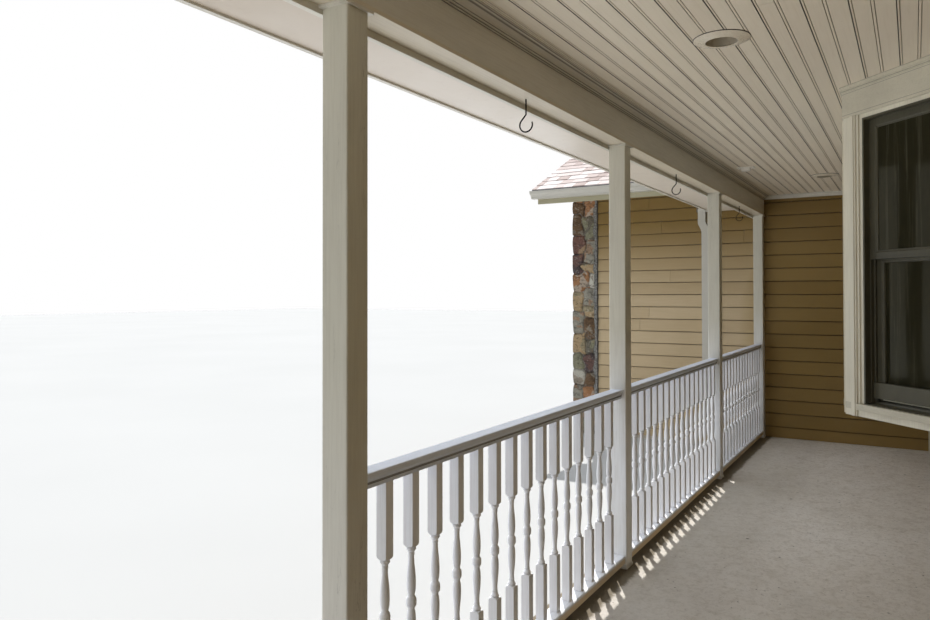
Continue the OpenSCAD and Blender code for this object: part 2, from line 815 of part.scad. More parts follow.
// A flat frame in face i, from z0 up to z1 and set from y0 to y1. It is w wide with stiles of the width side,
// its top rail is as high as the stiles are wide and its bottom rail is as high as foot, or absent below 0
module face_frame(i, w, z0, z1, side, foot, y0, y1) {
  on_face(i)
    difference() {
      span_box([-w / 2, y0, z0], [w / 2, y1, z1]);
      span_box([-w / 2 + side, y0 - 1, z0 + foot], [w / 2 - side, y1 + 1, z1 - side]);
    }
}

// White frames round the windows' sides and heads, and a stepped moulding up both sides of each
module bay_casings() {
  color("#d0ccc2")
    for (i = [0 : 2]) {
      w = bay_faces[i][3] - 2 * casing_w;
      face_frame(i, w, 0, window_h - 1, jamb_w, -1, 6, 66);
      on_face(i)
        for (x = [-w / 2 - mould_in, w / 2 + mould_in]) {
          span_box([x - mould_w / 2, -mould_out * 0.6, z_bay - z_bay_window], [x + mould_w / 2, 0, window_h]);
          span_box([x - mould_w / 4, -mould_out, z_bay - z_bay_window], [x + mould_w / 4, 0, window_h]);
        }
    }
}

// Height of a window's opening inside its white frame, and of each of its two sashes
sash_zone = window_h - 1 - jamb_w;
sash_h = sash_zone / 2;

module bay_sashes() {
  color("#3a3a30")
    for (i = [0 : 2]) {
      w = bay_faces[i][3] - 2 * casing_w - 2 * jamb_w;
      face_frame(i, w, 0, sash_h, sash_w, sash_foot, 36, 60);
      face_frame(i, w, sash_h, sash_zone, sash_w, sash_w, 36, 60);
    }
}

module bay_glass() {
  color("#5b6460")
    for (i = [0 : 2]) {
      w = bay_faces[i][3] - 2 * casing_w - 2 * jamb_w - 2 * sash_w;
      on_face(i) {
        span_box([-w / 2, 46, sash_foot], [w / 2, 50, sash_h - sash_w]);
        span_box([-w / 2, 46, sash_h + sash_w], [w / 2, 50, sash_zone - sash_w]);
      }
    }
}

// The end wall and the wing's corner

// The end wall runs on past the posts, turns the wing's corner and stands behind its stone front
module end_wall() {
  y_back = y_stone + stone_t;
  color("#b7ab97") {
    run_x(x_back, x_core)
      polygon([
        [y_wall + siding_t, 0], [y_back, 0], [y_back, z_eave], [y_wing_stop, z_eave],
        [y_wing_stop, z_soffit], [y_fascia, z_soffit], [y_fascia, roof_z(y_fascia)],
        [y_wall + siding_t, roof_z(y_wall)]
      ]);
    span_box([x_wing, y_back, 0], [x_core, y_back + wall_t, z_eave]);
  }
}

module end_siding() {
  color("#8f7c5c")
    run_x(x_core, x_wall)
      polygon([
        [y_wall + siding_t, z_floor], [y_siding_step, z_floor], [y_siding_step, siding_low],
        [y_stone + stone_w, siding_low],
        [y_stone + stone_w, z_eave], [y_wing_stop, z_eave], [y_wing_stop, z_soffit], [y_fascia, z_soffit],
        [y_fascia, roof_z(y_fascia)], [y_wall, roof_z(y_wall)], [y_wall + siding_t, roof_z(y_wall)]
      ]);
}

module corner_board() {
  color("#cfcabe")
    span_box([x_wall, y_wall - corner_w, z_floor], [x_wall + board_t, y_wall, z_ceiling - cove_h]);
}

// The stone covers the wing's front up to its roof and turns the corner to the siding
module stone_corner() {
  x_out = x_core + stone_t;
  color("#8c8377") {
    run_y(y_stone, y_stone + stone_t)
      polygon([[x_wing, 0], [x_out, 0], [x_out, wing_z(x_out)], [x_wing, wing_z(x_wing)]]);
    span_box([x_core, y_stone, 0], [x_out, y_stone + stone_w, z_eave]);
  }
}

module wing_soffit() {
  x_out = x_core + stone_t;
  color("#cac4ba")
    translate([0, 0, z_eave])
      linear_extrude(soffit_t)
        polygon([
          [x_core, y_rake + fascia_t], [x_eave, y_rake + fascia_t], [x_eave, y_wing_stop],
          [x_wing, y_wing_stop], [x_wing, y_stone + stone_t], [x_out, y_stone + stone_t],
          [x_out, y_stone], [x_core, y_stone]
        ]);
}

// The fascia hangs below the soffit. The rake board closes the eave's end, steps up to the roof's slope and
// has a small board behind it, back to the stone
module wing_fascia() {
  z0 = z_eave + soffit_t;
  x1 = x_core + board_t;
  color("#d9d6d0") {
    span_box([x_eave, y_rake, z_eave_low], [x_eave_out, y_wing_stop, z_eave_top]);
    run_y(y_rake, y_rake + fascia_t)
      polygon([
        [x_core, z_eave], [x_eave_out, z_eave], [x_eave_out, z_eave_top], [x_wing, wing_z(x_wing)],
        [x_wing, wing_z(x_wing) - rake_h], [x_core, wing_z(x_core) - rake_h]
      ]);
    run_y(y_rake, y_stone)
      polygon([[x_core, z0], [x1, z0], [x1, wing_z(x1)], [x_core, wing_z(x_core)]]);
  }
}

module wing_gutter() {
  z_gutter = wing_z(x_wing_edge) - eave_gutter_h;
  color("#dedbd6") {
    run_y(y_wing_edge + gutter_t, y_wing_stop - gutter_t)
      translate([x_eave_out, z_gutter]) polygon(gutter_outline(gutter_w, eave_gutter_h, gutter_t));
    for (y = [y_wing_edge, y_wing_stop - gutter_t])
      run_y(y, y + gutter_t)
        translate([x_eave_out, z_gutter]) polygon(gutter_end(gutter_w, eave_gutter_h));
  }
}

module wing_roof() {
  t = deck_t + shingle_t;
  color("#5c544d")
    run_y(y_wing_edge, y_wing_stop)
      polygon([
        [x_wing, wing_z(x_wing)], [x_wing_edge, wing_z(x_wing_edge)],
        [x_wing_edge, wing_z(x_wing_edge) + t], [x_wing, wing_z(x_wing) + t]
      ]);
}

// The boards that close the wing's roof where the wing is cut off
module wing_ends() {
  z0 = z_eave + soffit_t;
  x1 = x_wing + board_t;
  color("#c9c3b8") {
    run_y(y_wing_stop - board_t, y_wing_stop)
      polygon([[x_wing, z0], [x_eave, z0], [x_eave, wing_z(x_eave)], [x_wing, wing_z(x_wing)]]);
    run_y(y_stone + stone_t, y_wing_stop)
      polygon([[x_wing, z0], [x1, z0], [x1, wing_z(x1)], [x_wing, wing_z(x_wing)]]);
  }
}

slab();
post(x_post_1);  // post_1
post(x_post_2);  // post_2
post(x_post_3);  // post_3
post(x_post_4);  // post_4
post(x_post_5);  // post_5
post_shoes();
post_caps();
beam_core();
beam_inner_board();
beam_under_board();
beam_outer_board();
end_beam();
ceiling();
crown_moulding();
wall_moulding();
downlight_trims();
downlight_lamps();
ceiling_fixture();
soffit();
fascia();
gutter();
downspout();
roof_deck();
roof_shingles();
gable_panel();
rake_board();
top_rails();
bottom_rails();
baluster_row(x_post_3, x_post_2, near_pitch, 1);  // balusters_near
baluster_row(x_post_4, x_post_3, baluster_pitch, end_share);  // balusters_middle
baluster_row(x_post_5, x_post_4, baluster_pitch, end_share);  // balusters_far
end_rails();
end_balusters();
plant_hooks();
house_wall();
house_siding();
bay_floor();
bay_wall_near();
bay_wall_front();
bay_wall_far();
bay_frieze();
bay_sill();
bay_casings();
bay_sashes();
bay_glass();
end_wall();
end_siding();
corner_board();
stone_corner();
wing_soffit();
wing_fascia();
wing_gutter();
wing_roof();
wing_ends();
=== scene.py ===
"""How the front porch looks: its camera, light, finishes and fine pieces. Lengths are in metres."""

import math
import random

import bpy
from mathutils import Matrix, Vector, noise


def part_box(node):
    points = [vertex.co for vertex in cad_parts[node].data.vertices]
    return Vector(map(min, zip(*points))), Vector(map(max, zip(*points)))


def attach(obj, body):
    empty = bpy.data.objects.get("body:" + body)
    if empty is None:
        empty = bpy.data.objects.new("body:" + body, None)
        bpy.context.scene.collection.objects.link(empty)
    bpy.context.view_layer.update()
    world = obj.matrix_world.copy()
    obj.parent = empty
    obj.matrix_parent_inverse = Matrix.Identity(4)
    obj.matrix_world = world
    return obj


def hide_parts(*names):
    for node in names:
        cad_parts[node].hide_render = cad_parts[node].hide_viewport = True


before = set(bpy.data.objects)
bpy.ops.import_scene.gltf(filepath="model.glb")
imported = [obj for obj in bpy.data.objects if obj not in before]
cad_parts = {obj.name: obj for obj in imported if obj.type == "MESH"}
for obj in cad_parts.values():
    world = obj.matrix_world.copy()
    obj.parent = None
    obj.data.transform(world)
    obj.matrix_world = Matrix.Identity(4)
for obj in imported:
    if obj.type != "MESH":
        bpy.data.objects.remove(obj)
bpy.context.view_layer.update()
scene = bpy.context.scene
scene.view_settings.view_transform = "Standard"


def placed(name, data):
    thing = bpy.data.objects.new(name, data)
    scene.collection.objects.link(thing)
    return thing


def mesh_of(name, points, faces):
    mesh = bpy.data.meshes.new(name)
    mesh.from_pydata(points, [], faces)
    return mesh


# Places taken from the CAD nodes

slab_low, slab_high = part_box("slab")
ceiling_low, ceiling_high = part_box("ceiling")
end_low, end_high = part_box("end_siding")
house_low, house_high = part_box("house_siding")
stone_low, stone_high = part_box("stone_corner")
fascia_low, fascia_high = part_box("fascia")
roof_low, roof_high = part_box("roof_shingles")
wing_low, wing_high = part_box("wing_roof")
bay_low, bay_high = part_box("bay_floor")
window_low, window_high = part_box("bay_wall_front")
frieze_low, frieze_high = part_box("bay_frieze")
rail_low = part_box("top_rails")[0]
foot_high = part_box("bottom_rails")[1]
SOFFIT_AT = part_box("soffit")[0].z
WING_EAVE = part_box("wing_soffit")[0].z

# Siding: the height of a course, the lower edge of the first one, and how far a lap stands out
COURSE = 0.131
COURSE_AT = 0.2595
LAP_DEPTH = 0.010
# Ceiling boards: their width and the edge of the first one
BOARD = 0.1385
BOARD_AT = -0.657
# Roofs: the rise of the porch's and the angle of the wing's
PORCH_RISE = math.tan(math.radians(18))
WING_ANGLE = math.radians(25.5)
# The tone of a face that has no board, tab or stone of its own
PLAIN = 0.5


# Camera, fitted to the straight lines of the photo

EYE = (3.569, 0.6335, 1.572)
# Degrees from the porch's length, upward and clockwise
YAW, PITCH, ROLL = 31.211, 0.728, -0.08
# Pixels of the photo: its width, the focal length and the shift
PHOTO_WIDTH, FOCAL, SHIFT = 930, 741.52, -25.1
SENSOR = 36


def add_camera():
    yaw, pitch, roll = math.radians(YAW), math.radians(PITCH), math.radians(ROLL)
    ahead = Vector((-math.cos(yaw), -math.sin(yaw), 0))
    aside = Vector((-math.sin(yaw), math.cos(yaw), 0))
    high = Vector((0, 0, 1))
    forward = ahead * math.cos(pitch) + high * math.sin(pitch)
    lifted = high * math.cos(pitch) - ahead * math.sin(pitch)
    right = aside * math.cos(roll) + lifted * math.sin(roll)
    up = lifted * math.cos(roll) - aside * math.sin(roll)
    data = bpy.data.cameras.new("camera")
    data.sensor_width = SENSOR
    data.lens = SENSOR * FOCAL / PHOTO_WIDTH
    data.shift_y = SHIFT / PHOTO_WIDTH
    data.clip_start = 0.05
    camera = placed("camera", data)
    turn = Matrix((right, up, -forward)).transposed()
    camera.matrix_world = Matrix.Translation(EYE) @ turn.to_4x4()
    scene.camera = camera


# Nodes of materials and of the world


def linear(c):
    return c / 12.92 if c <= 0.04045 else ((c + 0.055) / 1.055) ** 2.4


def tint(colour):
    """A socket stays as it is. A colour of 0 to 255 becomes the linear one that nodes take."""
    if isinstance(colour, bpy.types.NodeSocket):
        return colour
    return tuple(linear(c / 255) for c in colour) + (1.0,)


def darker(colour, share):
    return tuple(c * share for c in colour)


def along(axis, run, across):
    """Scales for a pattern that runs along one axis."""
    return tuple(run if name == axis else across for name in "xyz")


class Tree:
    """The nodes of a material or of the world."""

    def __init__(self, owner):
        owner.use_nodes = True
        self.nodes = owner.node_tree.nodes
        self.links = owner.node_tree.links
        self.nodes.clear()

    def put(self, socket, value):
        if isinstance(value, bpy.types.NodeSocket):
            self.links.new(value, socket)
        else:
            socket.default_value = value

    def node(self, kind, *values, **named):
        """A new node. Values go to its inputs in turn, or by name, with _ for a space."""
        node = self.nodes.new("ShaderNode" + kind)
        for i, value in enumerate(values):
            self.put(node.inputs[i], value)
        for name, value in named.items():
            self.put(node.inputs[name.replace("_", " ")], value)
        return node

    def math(self, kind, a, b=0.0):
        node = self.node("Math", a, b)
        node.operation = kind
        return node.outputs[0]

    def span(self, value, low, high, to_low=0.0, to_high=1.0):
        """From one level to another as the value goes from low to high."""
        ends = {"From_Min": low, "From_Max": high, "To_Min": to_low, "To_Max": to_high}
        return self.node("MapRange", Value=value, **ends).outputs["Result"]


class Finish(Tree):
    """A material whose colour and relief are laid on step by step, in the object's own coordinates."""

    def __init__(self, name, base, roughness, specular, **more):
        self.mat = bpy.data.materials.new(name)
        super().__init__(self.mat)
        self.shader = self.node("BsdfPrincipled", Roughness=roughness, Specular_IOR_Level=specular, **more)
        self.node("OutputMaterial", Surface=self.shader.outputs["BSDF"])
        self.place = self.node("TexCoord").outputs["Object"]
        self.base = base

    def scaled(self, scale):
        """The place, times one scale or three."""
        three = scale if isinstance(scale, tuple) else (scale,) * 3
        return self.node("Mapping", Vector=self.place, Scale=three).outputs["Vector"]

    def noise(self, scale, detail=3.0, rough=0.5, distortion=0.0):
        shape = {"Detail": detail, "Roughness": rough, "Distortion": distortion}
        return self.node("TexNoise", Vector=self.scaled(scale), Scale=1, **shape).outputs["Fac"]

    def cells(self, scale, output="Distance"):
        return self.node("TexVoronoi", Vector=self.scaled(scale), Scale=1).outputs[output]

    def tone(self, name="tone"):
        node = self.node("Attribute")
        node.attribute_name = name
        return node.outputs["Fac"]

    def axis(self, name):
        return self.node("SeparateXYZ", self.place).outputs[name]

    def lines(self, value, places, half):
        """1 on thin lines where the value meets one of the places, 0 beside them."""
        out = 0.0
        for place in places:
            off = self.math("ABSOLUTE", self.math("SUBTRACT", value, place))
            out = self.math("MAXIMUM", out, self.span(off, half, half * 0.4))
        return out

    def within(self, value, pitch, start):
        """Where the value lies in a row of equal steps: 0 to 1 from one step to the next."""
        return self.math("FRACT", self.math("DIVIDE", self.math("SUBTRACT", value, start), pitch))

    def ramp(self, value, stops, step="LINEAR"):
        node = self.node("ValToRGB", value)
        band = node.color_ramp
        band.interpolation = step
        while len(band.elements) < len(stops):
            band.elements.new(0.5)
        for element, (place, colour) in zip(band.elements, stops):
            element.position = place
            element.color = tint(colour)
        return node.outputs["Color"]

    def mix(self, share, a, b, kind="MIX"):
        node = self.node("Mix")
        node.data_type = "RGBA"
        node.blend_type = kind
        for i, value in ((0, share), (6, tint(a)), (7, tint(b))):
            self.put(node.inputs[i], value)
        return node.outputs[2]

    def cover(self, share, colour, kind="MIX"):
        """Lay a share of a colour over the base."""
        self.base = self.mix(share, self.base, colour, kind)

    def stain(self, value, low, high, most, colour):
        """Lay up to the most of a colour over the base as the value goes from low to high."""
        self.cover(self.span(value, low, high, 0, most), colour)

    def done(self, bumps=(), rough=None, soft=None):
        """The material, with bumps of a height and a depth each, and its edges rounded by soft."""
        normal = {}
        if soft:
            node = self.node("Bevel", Radius=soft)
            node.samples = 4
            normal = {"Normal": node.outputs["Normal"]}
        for height, depth in bumps:
            node = self.node("Bump", Height=height, Distance=depth, Strength=1, **normal)
            normal = {"Normal": node.outputs["Normal"]}
        for name, value in {"Base Color": tint(self.base), "Roughness": rough, **normal}.items():
            if value is not None:
                self.put(self.shader.inputs[name], value)
        return self.mat


# Light

SKY = (0.86, 0.93, 1.0, 1)
# The height of a look where the sky starts to brighten, where it has, and its strength there
SKY_FROM, SKY_TO, SKY_LOW, SKY_HIGH = 0.1, 0.75, 0.26, 0.52
# Each lamp: its name, the way to it, its energy, its spread in degrees and its colour
LAMPS = [
    ("key", (-0.464, -0.270, 0.843), 4.4, 0.3, (1.0, 0.985, 0.965)),
    ("sky_side", (-0.05, -0.70, 0.71), 1.4, 60, (0.86, 0.92, 1.0)),
    ("sky_end", (0.48, -0.40, 0.78), 0.42, 30, (0.96, 0.98, 1.0)),
]


def add_world():
    """A soft sky that the camera, gloss and glass see as plain white."""
    world = bpy.data.worlds.new("studio")
    scene.world = world
    sky = Tree(world)
    height = sky.node("SeparateXYZ", sky.node("TexCoord").outputs["Generated"]).outputs["Z"]
    strength = sky.span(height, SKY_FROM, SKY_TO, SKY_LOW, SKY_HIGH)
    soft = sky.node("Background", Color=SKY, Strength=strength).outputs[0]
    white = sky.node("Background", Color=(1, 1, 1, 1), Strength=1).outputs[0]
    path = sky.node("LightPath").outputs
    seen = sky.math("MAXIMUM", path["Is Camera Ray"], path["Is Glossy Ray"])
    seen = sky.math("MAXIMUM", seen, path["Is Transmission Ray"])
    sky.node("OutputWorld", Surface=sky.node("MixShader", seen, soft, white).outputs[0])


def add_lamps():
    for name, toward, energy, spread, colour in LAMPS:
        sun = bpy.data.lights.new(name, "SUN")
        sun.energy = energy
        sun.angle = math.radians(spread)
        sun.color = colour
        placed(name, sun).rotation_euler = Vector(toward).to_track_quat("Z", "Y").to_euler()


# Finishes


def painted_wood(
    name, colour, axis, dirt=(150, 138, 118), wear=0.5, edge=0.0015, shade_lines=(), shade_half=0.0012, light_fade=None,
    cracks=False,
):
    """Brushed paint over timber, with its grain along the axis and painted shade in creases at the given
    heights.

    A light fade is painted light: a height where the paint starts to turn, one where it has turned, and the
    colour there, paler low on the posts and a warm painted reflection of the floor on the foot rail's side."""
    f = Finish(name, colour, 0.45, 0.4)
    grain = f.noise(along(axis, 5, 160), detail=6, rough=0.65)
    broad = f.noise(along(axis, 0.9, 5), detail=4, rough=0.6)
    spots = f.noise(along(axis, 22, 60), detail=3, rough=0.55)
    # Painted light: the paint turns to the lit colour between two heights.
    if light_fade:
        start, end, lit_colour = light_fade
        f.stain(f.axis("Z"), start, end, 1, lit_colour)
    f.stain(broad, 0.35, 0.7, 0.5, darker(colour, 0.88))
    f.stain(grain, 0.45, 0.75, 0.22, dirt)
    f.stain(broad, 0.58, 0.8, 0.3 * wear, dirt)
    f.stain(spots, 0.73, 0.78, 0.5 * wear, (104, 88, 66))
    if cracks:
        wander = f.noise(along(axis, 2.5, 22), detail=5, rough=0.6)
        some = f.span(broad, 0.54, 0.62, 0, 0.35)
        f.cover(f.math("MULTIPLY", f.lines(wander, (0.5,), 0.006), some), (88, 76, 60))
    # Painted shade: dark lines in the creases at the given heights.
    if shade_lines:
        f.cover(f.math("MULTIPLY", f.lines(f.axis("Z"), shade_lines, shade_half), 0.7), (66, 56, 44))
    bumps = [(grain, 0.00035), (f.span(spots, 0.7, 0.8), 0.0004)]
    return f.done(bumps, f.span(grain, 0.3, 0.8, 0.34, 0.58), edge)


def metal_paint(name, colour, stain=(165, 150, 128), shade_from=None):
    """Factory paint on thin metal, chalky and streaked, with painted shade, in the stain's colour, growing
    past a place along the porch.
    """
    f = Finish(name, colour, 0.35, 0.5)
    broad = f.noise(1.6, detail=5, rough=0.6)
    streak = f.noise((26, 26, 2.2), detail=4, rough=0.6)
    fine = f.noise(500, detail=2)
    f.stain(broad, 0.4, 0.75, 0.35, darker(colour, 0.9))
    f.stain(streak, 0.6, 0.85, 0.35, stain)
    if shade_from is not None:
        # Painted shade, growing along the porch from the given place.
        f.stain(f.axis("X"), shade_from, shade_from + 3.5, 0.85, stain)
    return f.done([(broad, 0.002), (fine, 0.00008)], f.span(broad, 0.3, 0.8, 0.27, 0.51), 0.001)


def beaded_boards():
    """The ceiling's paint, with dark joints and painted shade in the grooves beside the beads."""
    f = Finish("ceiling_paint", (236, 225, 204), 0.5, 0.35)
    grain = f.noise((4, 120, 120), detail=5, rough=0.6)
    broad = f.noise((0.8, 2.5, 2.5), detail=4, rough=0.6)
    spots = f.noise(14, detail=3, rough=0.6)
    f.cover(f.tone(), (230, 218, 197))
    f.stain(grain, 0.5, 0.8, 0.14, (190, 174, 150))
    f.stain(broad, 0.55, 0.8, 0.2, (196, 182, 158))
    f.stain(spots, 0.72, 0.78, 0.35, (150, 130, 100))
    step = f.within(f.axis("Y"), BOARD, BOARD_AT)
    joint = f.lines(step, (0.004, 1.0), 0.0026 / BOARD)
    grooves = (0.0096 / BOARD, 0.5 - 0.0052 / BOARD, 0.5 + 0.0052 / BOARD)
    groove_shade = f.lines(step, grooves, 0.0019 / BOARD)
    # Painted shade in the grooves beside the beads.
    f.cover(f.math("MULTIPLY", groove_shade, 0.6), (84, 66, 42))
    f.cover(f.math("MULTIPLY", joint, 0.9), (50, 38, 22))
    return f.done([(grain, 0.0002)], f.span(grain, 0.3, 0.8, 0.42, 0.6))


def concrete():
    """A pale slab, mottled and specked, darker towards the railing, with painted shade along the foot rail
    and at the open end.
    """
    f = Finish("concrete", None, 0.8, 0.3)
    broad = f.noise((0.7, 1.0, 1), detail=5, rough=0.6, distortion=0.3)
    blot = f.noise(12, detail=8, rough=0.75, distortion=0.3)
    mottle = f.noise(42, detail=6, rough=0.75)
    speck = f.noise(110, detail=4, rough=0.8)
    chance = f.noise(5)
    f.base = f.ramp(broad, [(0.3, (212, 206, 197)), (0.5, (226, 220, 212)), (0.72, (234, 229, 223))])
    f.stain(blot, 0.5, 0.64, 0.3, (170, 158, 140))
    f.stain(blot, 0.45, 0.34, 0.25, (242, 240, 237))
    f.stain(mottle, 0.5, 0.64, 0.36, (160, 148, 132))
    f.stain(speck, 0.58, 0.7, 0.6, (112, 102, 88))
    # Darker towards the railing.
    f.stain(f.axis("Y"), 0.0, -0.5, 0.45, (150, 142, 128))
    # Painted shade at the open end of the porch.
    f.stain(f.axis("X"), -0.8, 1.2, 0.45, (156, 148, 138))
    # Painted shade of the foot rail in a strip along it.
    foot = f.math("ADD", f.axis("Y"), f.span(blot, 0.3, 0.7, -0.02, 0.02))
    foot_shade = f.span(foot, foot_high.y + 0.075, foot_high.y + 0.055, 0, 0.85)
    on_top = f.span(f.axis("Z"), slab_high.z - 0.012, slab_high.z - 0.004)
    f.cover(f.math("MULTIPLY", foot_shade, on_top), (92, 80, 56))
    leaves = f.math("MULTIPLY", f.span(f.cells(6.5), 0.07, 0.045), f.span(chance, 0.52, 0.56))
    flecks = f.math("MULTIPLY", f.span(f.cells(23), 0.11, 0.07), f.span(chance, 0.5, 0.44))
    f.cover(f.math("MULTIPLY", f.math("MAXIMUM", leaves, flecks), 0.8), (62, 52, 42))
    bumps = [(broad, 0.002), (mottle, 0.0012), (speck, 0.0006)]
    return f.done(bumps, f.span(blot, 0.3, 0.7, 0.65, 0.88), 0.004)


def lap_siding():
    """Painted fibre boards, faded outside the posts, with painted shade near the eaves and under each lap."""
    f = Finish("tan_siding", None, 0.6, 0.3)
    grain = f.noise((3, 3, 150), detail=6, rough=0.7, distortion=0.3)
    broad = f.noise(0.9, detail=5, rough=0.6)
    streak = f.noise((14, 14, 0.9), detail=4, rough=0.6)
    faded = f.ramp(f.tone(), [(0.0, (190, 169, 134)), (0.5, (195, 174, 139)), (1.0, (200, 180, 146))])
    # The deep tan is the darker paint inside the porch, and painted shade high up under the eaves.
    deep_tan_and_shade = f.ramp(f.tone(), [(0.0, (140, 114, 62)), (0.5, (145, 119, 66)), (1.0, (150, 124, 72))])
    inside = f.span(f.axis("Y"), -0.9, -0.6)
    under_eave_shade = f.span(f.axis("Z"), 1.5, 2.35)
    f.base = f.mix(f.math("MAXIMUM", inside, under_eave_shade), faded, deep_tan_and_shade)
    f.stain(grain, 0.4, 0.75, 0.22, (146, 120, 80))
    f.stain(broad, 0.45, 0.75, 0.25, (160, 137, 98))
    f.stain(streak, 0.62, 0.8, 0.25, (138, 116, 80))
    # Painted shade, darkest right under the ceiling and the eaves.
    f.stain(f.axis("Z"), 2.0, 2.45, 0.4, (98, 74, 22))
    # Painted shade: a dark band just under the lower edge of each lap.
    up_lap = f.within(f.axis("Z"), COURSE, COURSE_AT)
    line = f.math("MULTIPLY", f.span(up_lap, 0.91, 0.935), f.span(inside, 0.0, 1.0, 0.45, 0.52))
    f.cover(line, (70, 50, 26))
    return f.done([(grain, 0.0006)], f.span(grain, 0.3, 0.7, 0.5, 0.7), 0.001)


def shingle(name, fresh):
    """Asphalt shingles with grit, faded in the sun by 1 less the fresh share."""
    f = Finish(name, None, 0.9, 0.2)
    grit = f.noise(330, detail=3, rough=0.8)
    blend = f.noise(9, detail=4, rough=0.7)
    tabs = [(0.0, (176, 158, 152)), (0.3, (206, 192, 187)), (0.6, (224, 213, 209)), (1.0, (238, 230, 227))]
    f.base = f.ramp(f.tone(), tabs)
    f.stain(grit, 0.45, 0.75, 0.45, (150, 130, 126))
    f.stain(grit, 0.62, 0.8, 0.5, (242, 234, 230))
    f.stain(blend, 0.5, 0.75, 0.35, (224, 212, 206))
    f.cover(fresh, (112, 96, 90))
    return f.done([(grit, 0.0012)])


STONE_COLOURS = [
    (104, 82, 60), (150, 146, 132), (176, 152, 116), (118, 86, 76),
    (162, 118, 82), (190, 186, 172), (80, 70, 70), (134, 132, 108),
]


def field_stone():
    """Rubble: each stone takes its own colours, with veins, pale lichen and dark chips.

    The joint attribute is 1 in the mortar between stones and 2 on the pointed strip."""
    f = Finish("stone_veneer", None, 0.88, 0.25)
    step = 1 / len(STONE_COLOURS)
    stops = [(i * step, colour) for i, colour in enumerate(STONE_COLOURS)]
    other = f.ramp(f.math("FRACT", f.math("MULTIPLY", f.tone(), 3.0)), stops, "CONSTANT")
    patch = f.noise((7, 7, 8), detail=2, rough=0.5, distortion=0.5)
    vein = f.noise((9, 9, 16), detail=6, rough=0.72, distortion=1.8)
    blot = f.noise((26, 26, 34), detail=6, rough=0.75, distortion=0.5)
    grit = f.noise(190, detail=4, rough=0.75)
    sand = f.noise(70, detail=4, rough=0.7)
    f.base = f.ramp(f.tone(), stops, "CONSTANT")
    f.stain(patch, 0.54, 0.57, 0.6, other)
    f.stain(vein, 0.52, 0.6, 0.6, (58, 48, 42))
    f.stain(vein, 0.42, 0.32, 0.35, (168, 120, 76))
    f.stain(blot, 0.56, 0.64, 0.4, (202, 196, 182))
    f.stain(blot, 0.44, 0.34, 0.5, (56, 50, 44))
    f.stain(grit, 0.55, 0.75, 0.45, (62, 54, 48))
    bed = f.mix(f.span(f.noise(5), 0.42, 0.58), (58, 50, 44), (158, 152, 142))
    bed = f.mix(f.span(sand, 0.45, 0.65, 0, 0.5), bed, (96, 90, 82))
    f.stain(f.tone("joint"), 0.0, 1.0, 1, bed)
    strip = f.mix(f.span(sand, 0.42, 0.58), (92, 90, 86), (148, 147, 142))
    f.stain(f.tone("joint"), 1.1, 1.6, 1, strip)
    f.cover(0.1, (40, 36, 28))
    return f.done([(blot, 0.005), (grit, 0.0012)])


def mortar():
    """The dark gap between the pointed strip and the siding."""
    f = Finish("mortar", None, 0.95, 0.2)
    grit = f.noise(180, detail=4, rough=0.7)
    broad = f.noise(6, detail=5, rough=0.6)
    f.base = f.ramp(broad, [(0.3, (74, 70, 64)), (0.7, (96, 92, 86))])
    f.stain(grit, 0.5, 0.75, 0.4, (92, 94, 94))
    return f.done([(grit, 0.001)])


def raw_wood():
    f = Finish("roof_wood", None, 0.75, 0.25)
    grain = f.noise((3, 90, 90), detail=6, rough=0.7, distortion=0.6)
    f.base = f.ramp(grain, [(0.3, (172, 138, 96)), (0.7, (128, 96, 62))])
    f.cover(0.18, f.cells((26, 40, 40), "Color"), "OVERLAY")
    return f.done([(grain, 0.0008)])


def plaster():
    colour = (206, 198, 184)
    f = Finish("wall_core", colour, 0.85, 0.25)
    broad = f.noise(1.1, detail=5, rough=0.6)
    fine = f.noise(120, detail=4, rough=0.6)
    f.stain(broad, 0.35, 0.7, 1, darker(colour, 0.94))
    f.stain(fine, 0.6, 0.8, 0.25, darker(colour, 0.8))
    return f.done([(fine, 0.0005)], soft=0.001)


def dark_frame():
    f = Finish("sash", (84, 81, 64), 0.5, 0.35)
    grain = f.noise((60, 60, 9), detail=5, rough=0.6)
    broad = f.noise(3, detail=4)
    f.stain(broad, 0.3, 0.7, 1, (70, 67, 52))
    f.stain(grain, 0.55, 0.8, 0.4, (104, 100, 82))
    return f.done([(grain, 0.0002)], f.span(grain, 0.3, 0.7, 0.4, 0.6), 0.001)


def dark_glass():
    """Panes with an insect screen behind them, so that little of the room shows."""
    f = Finish("glass", (50, 48, 34), 0.06, 0.05, Transmission_Weight=0.25, Specular_Tint=(0.9, 0.85, 0.6, 1))
    dust = f.noise((9, 9, 2.6), detail=6, rough=0.7)
    streak = f.noise((38, 38, 1.1), detail=6, rough=0.7)
    wave = f.noise((2.2, 2.2, 1.4), detail=1)
    f.stain(dust, 0.5, 0.8, 0.5, (76, 72, 54))
    f.stain(streak, 0.55, 0.7, 0.6, (98, 96, 80))
    return f.done([(wave, 0.002)], f.span(dust, 0.4, 0.8, 0.04, 0.16))


def black_wire():
    f = Finish("black_wire", (8, 8, 8), 0.5, 0.08)
    fine = f.noise(260, detail=3)
    rust = f.noise(40, detail=4)
    f.stain(fine, 0.3, 0.7, 1, (18, 17, 16))
    f.stain(rust, 0.62, 0.75, 0.4, (70, 46, 32))
    return f.done([(fine, 0.0002)], f.span(fine, 0.3, 0.7, 0.3, 0.5))


def lamp_face(name, pale, dark):
    """Enamel of a ceiling light, from pale to dark, and the dark ring of painted shadow round each rim."""
    f = Finish(name, pale, 0.3, 0.5)
    ring = f.noise(90, detail=3)
    f.stain(ring, 0.3, 0.7, 1, dark)
    return f.done([(ring, 0.0003)], f.span(ring, 0.3, 0.7, 0.2, 0.4))


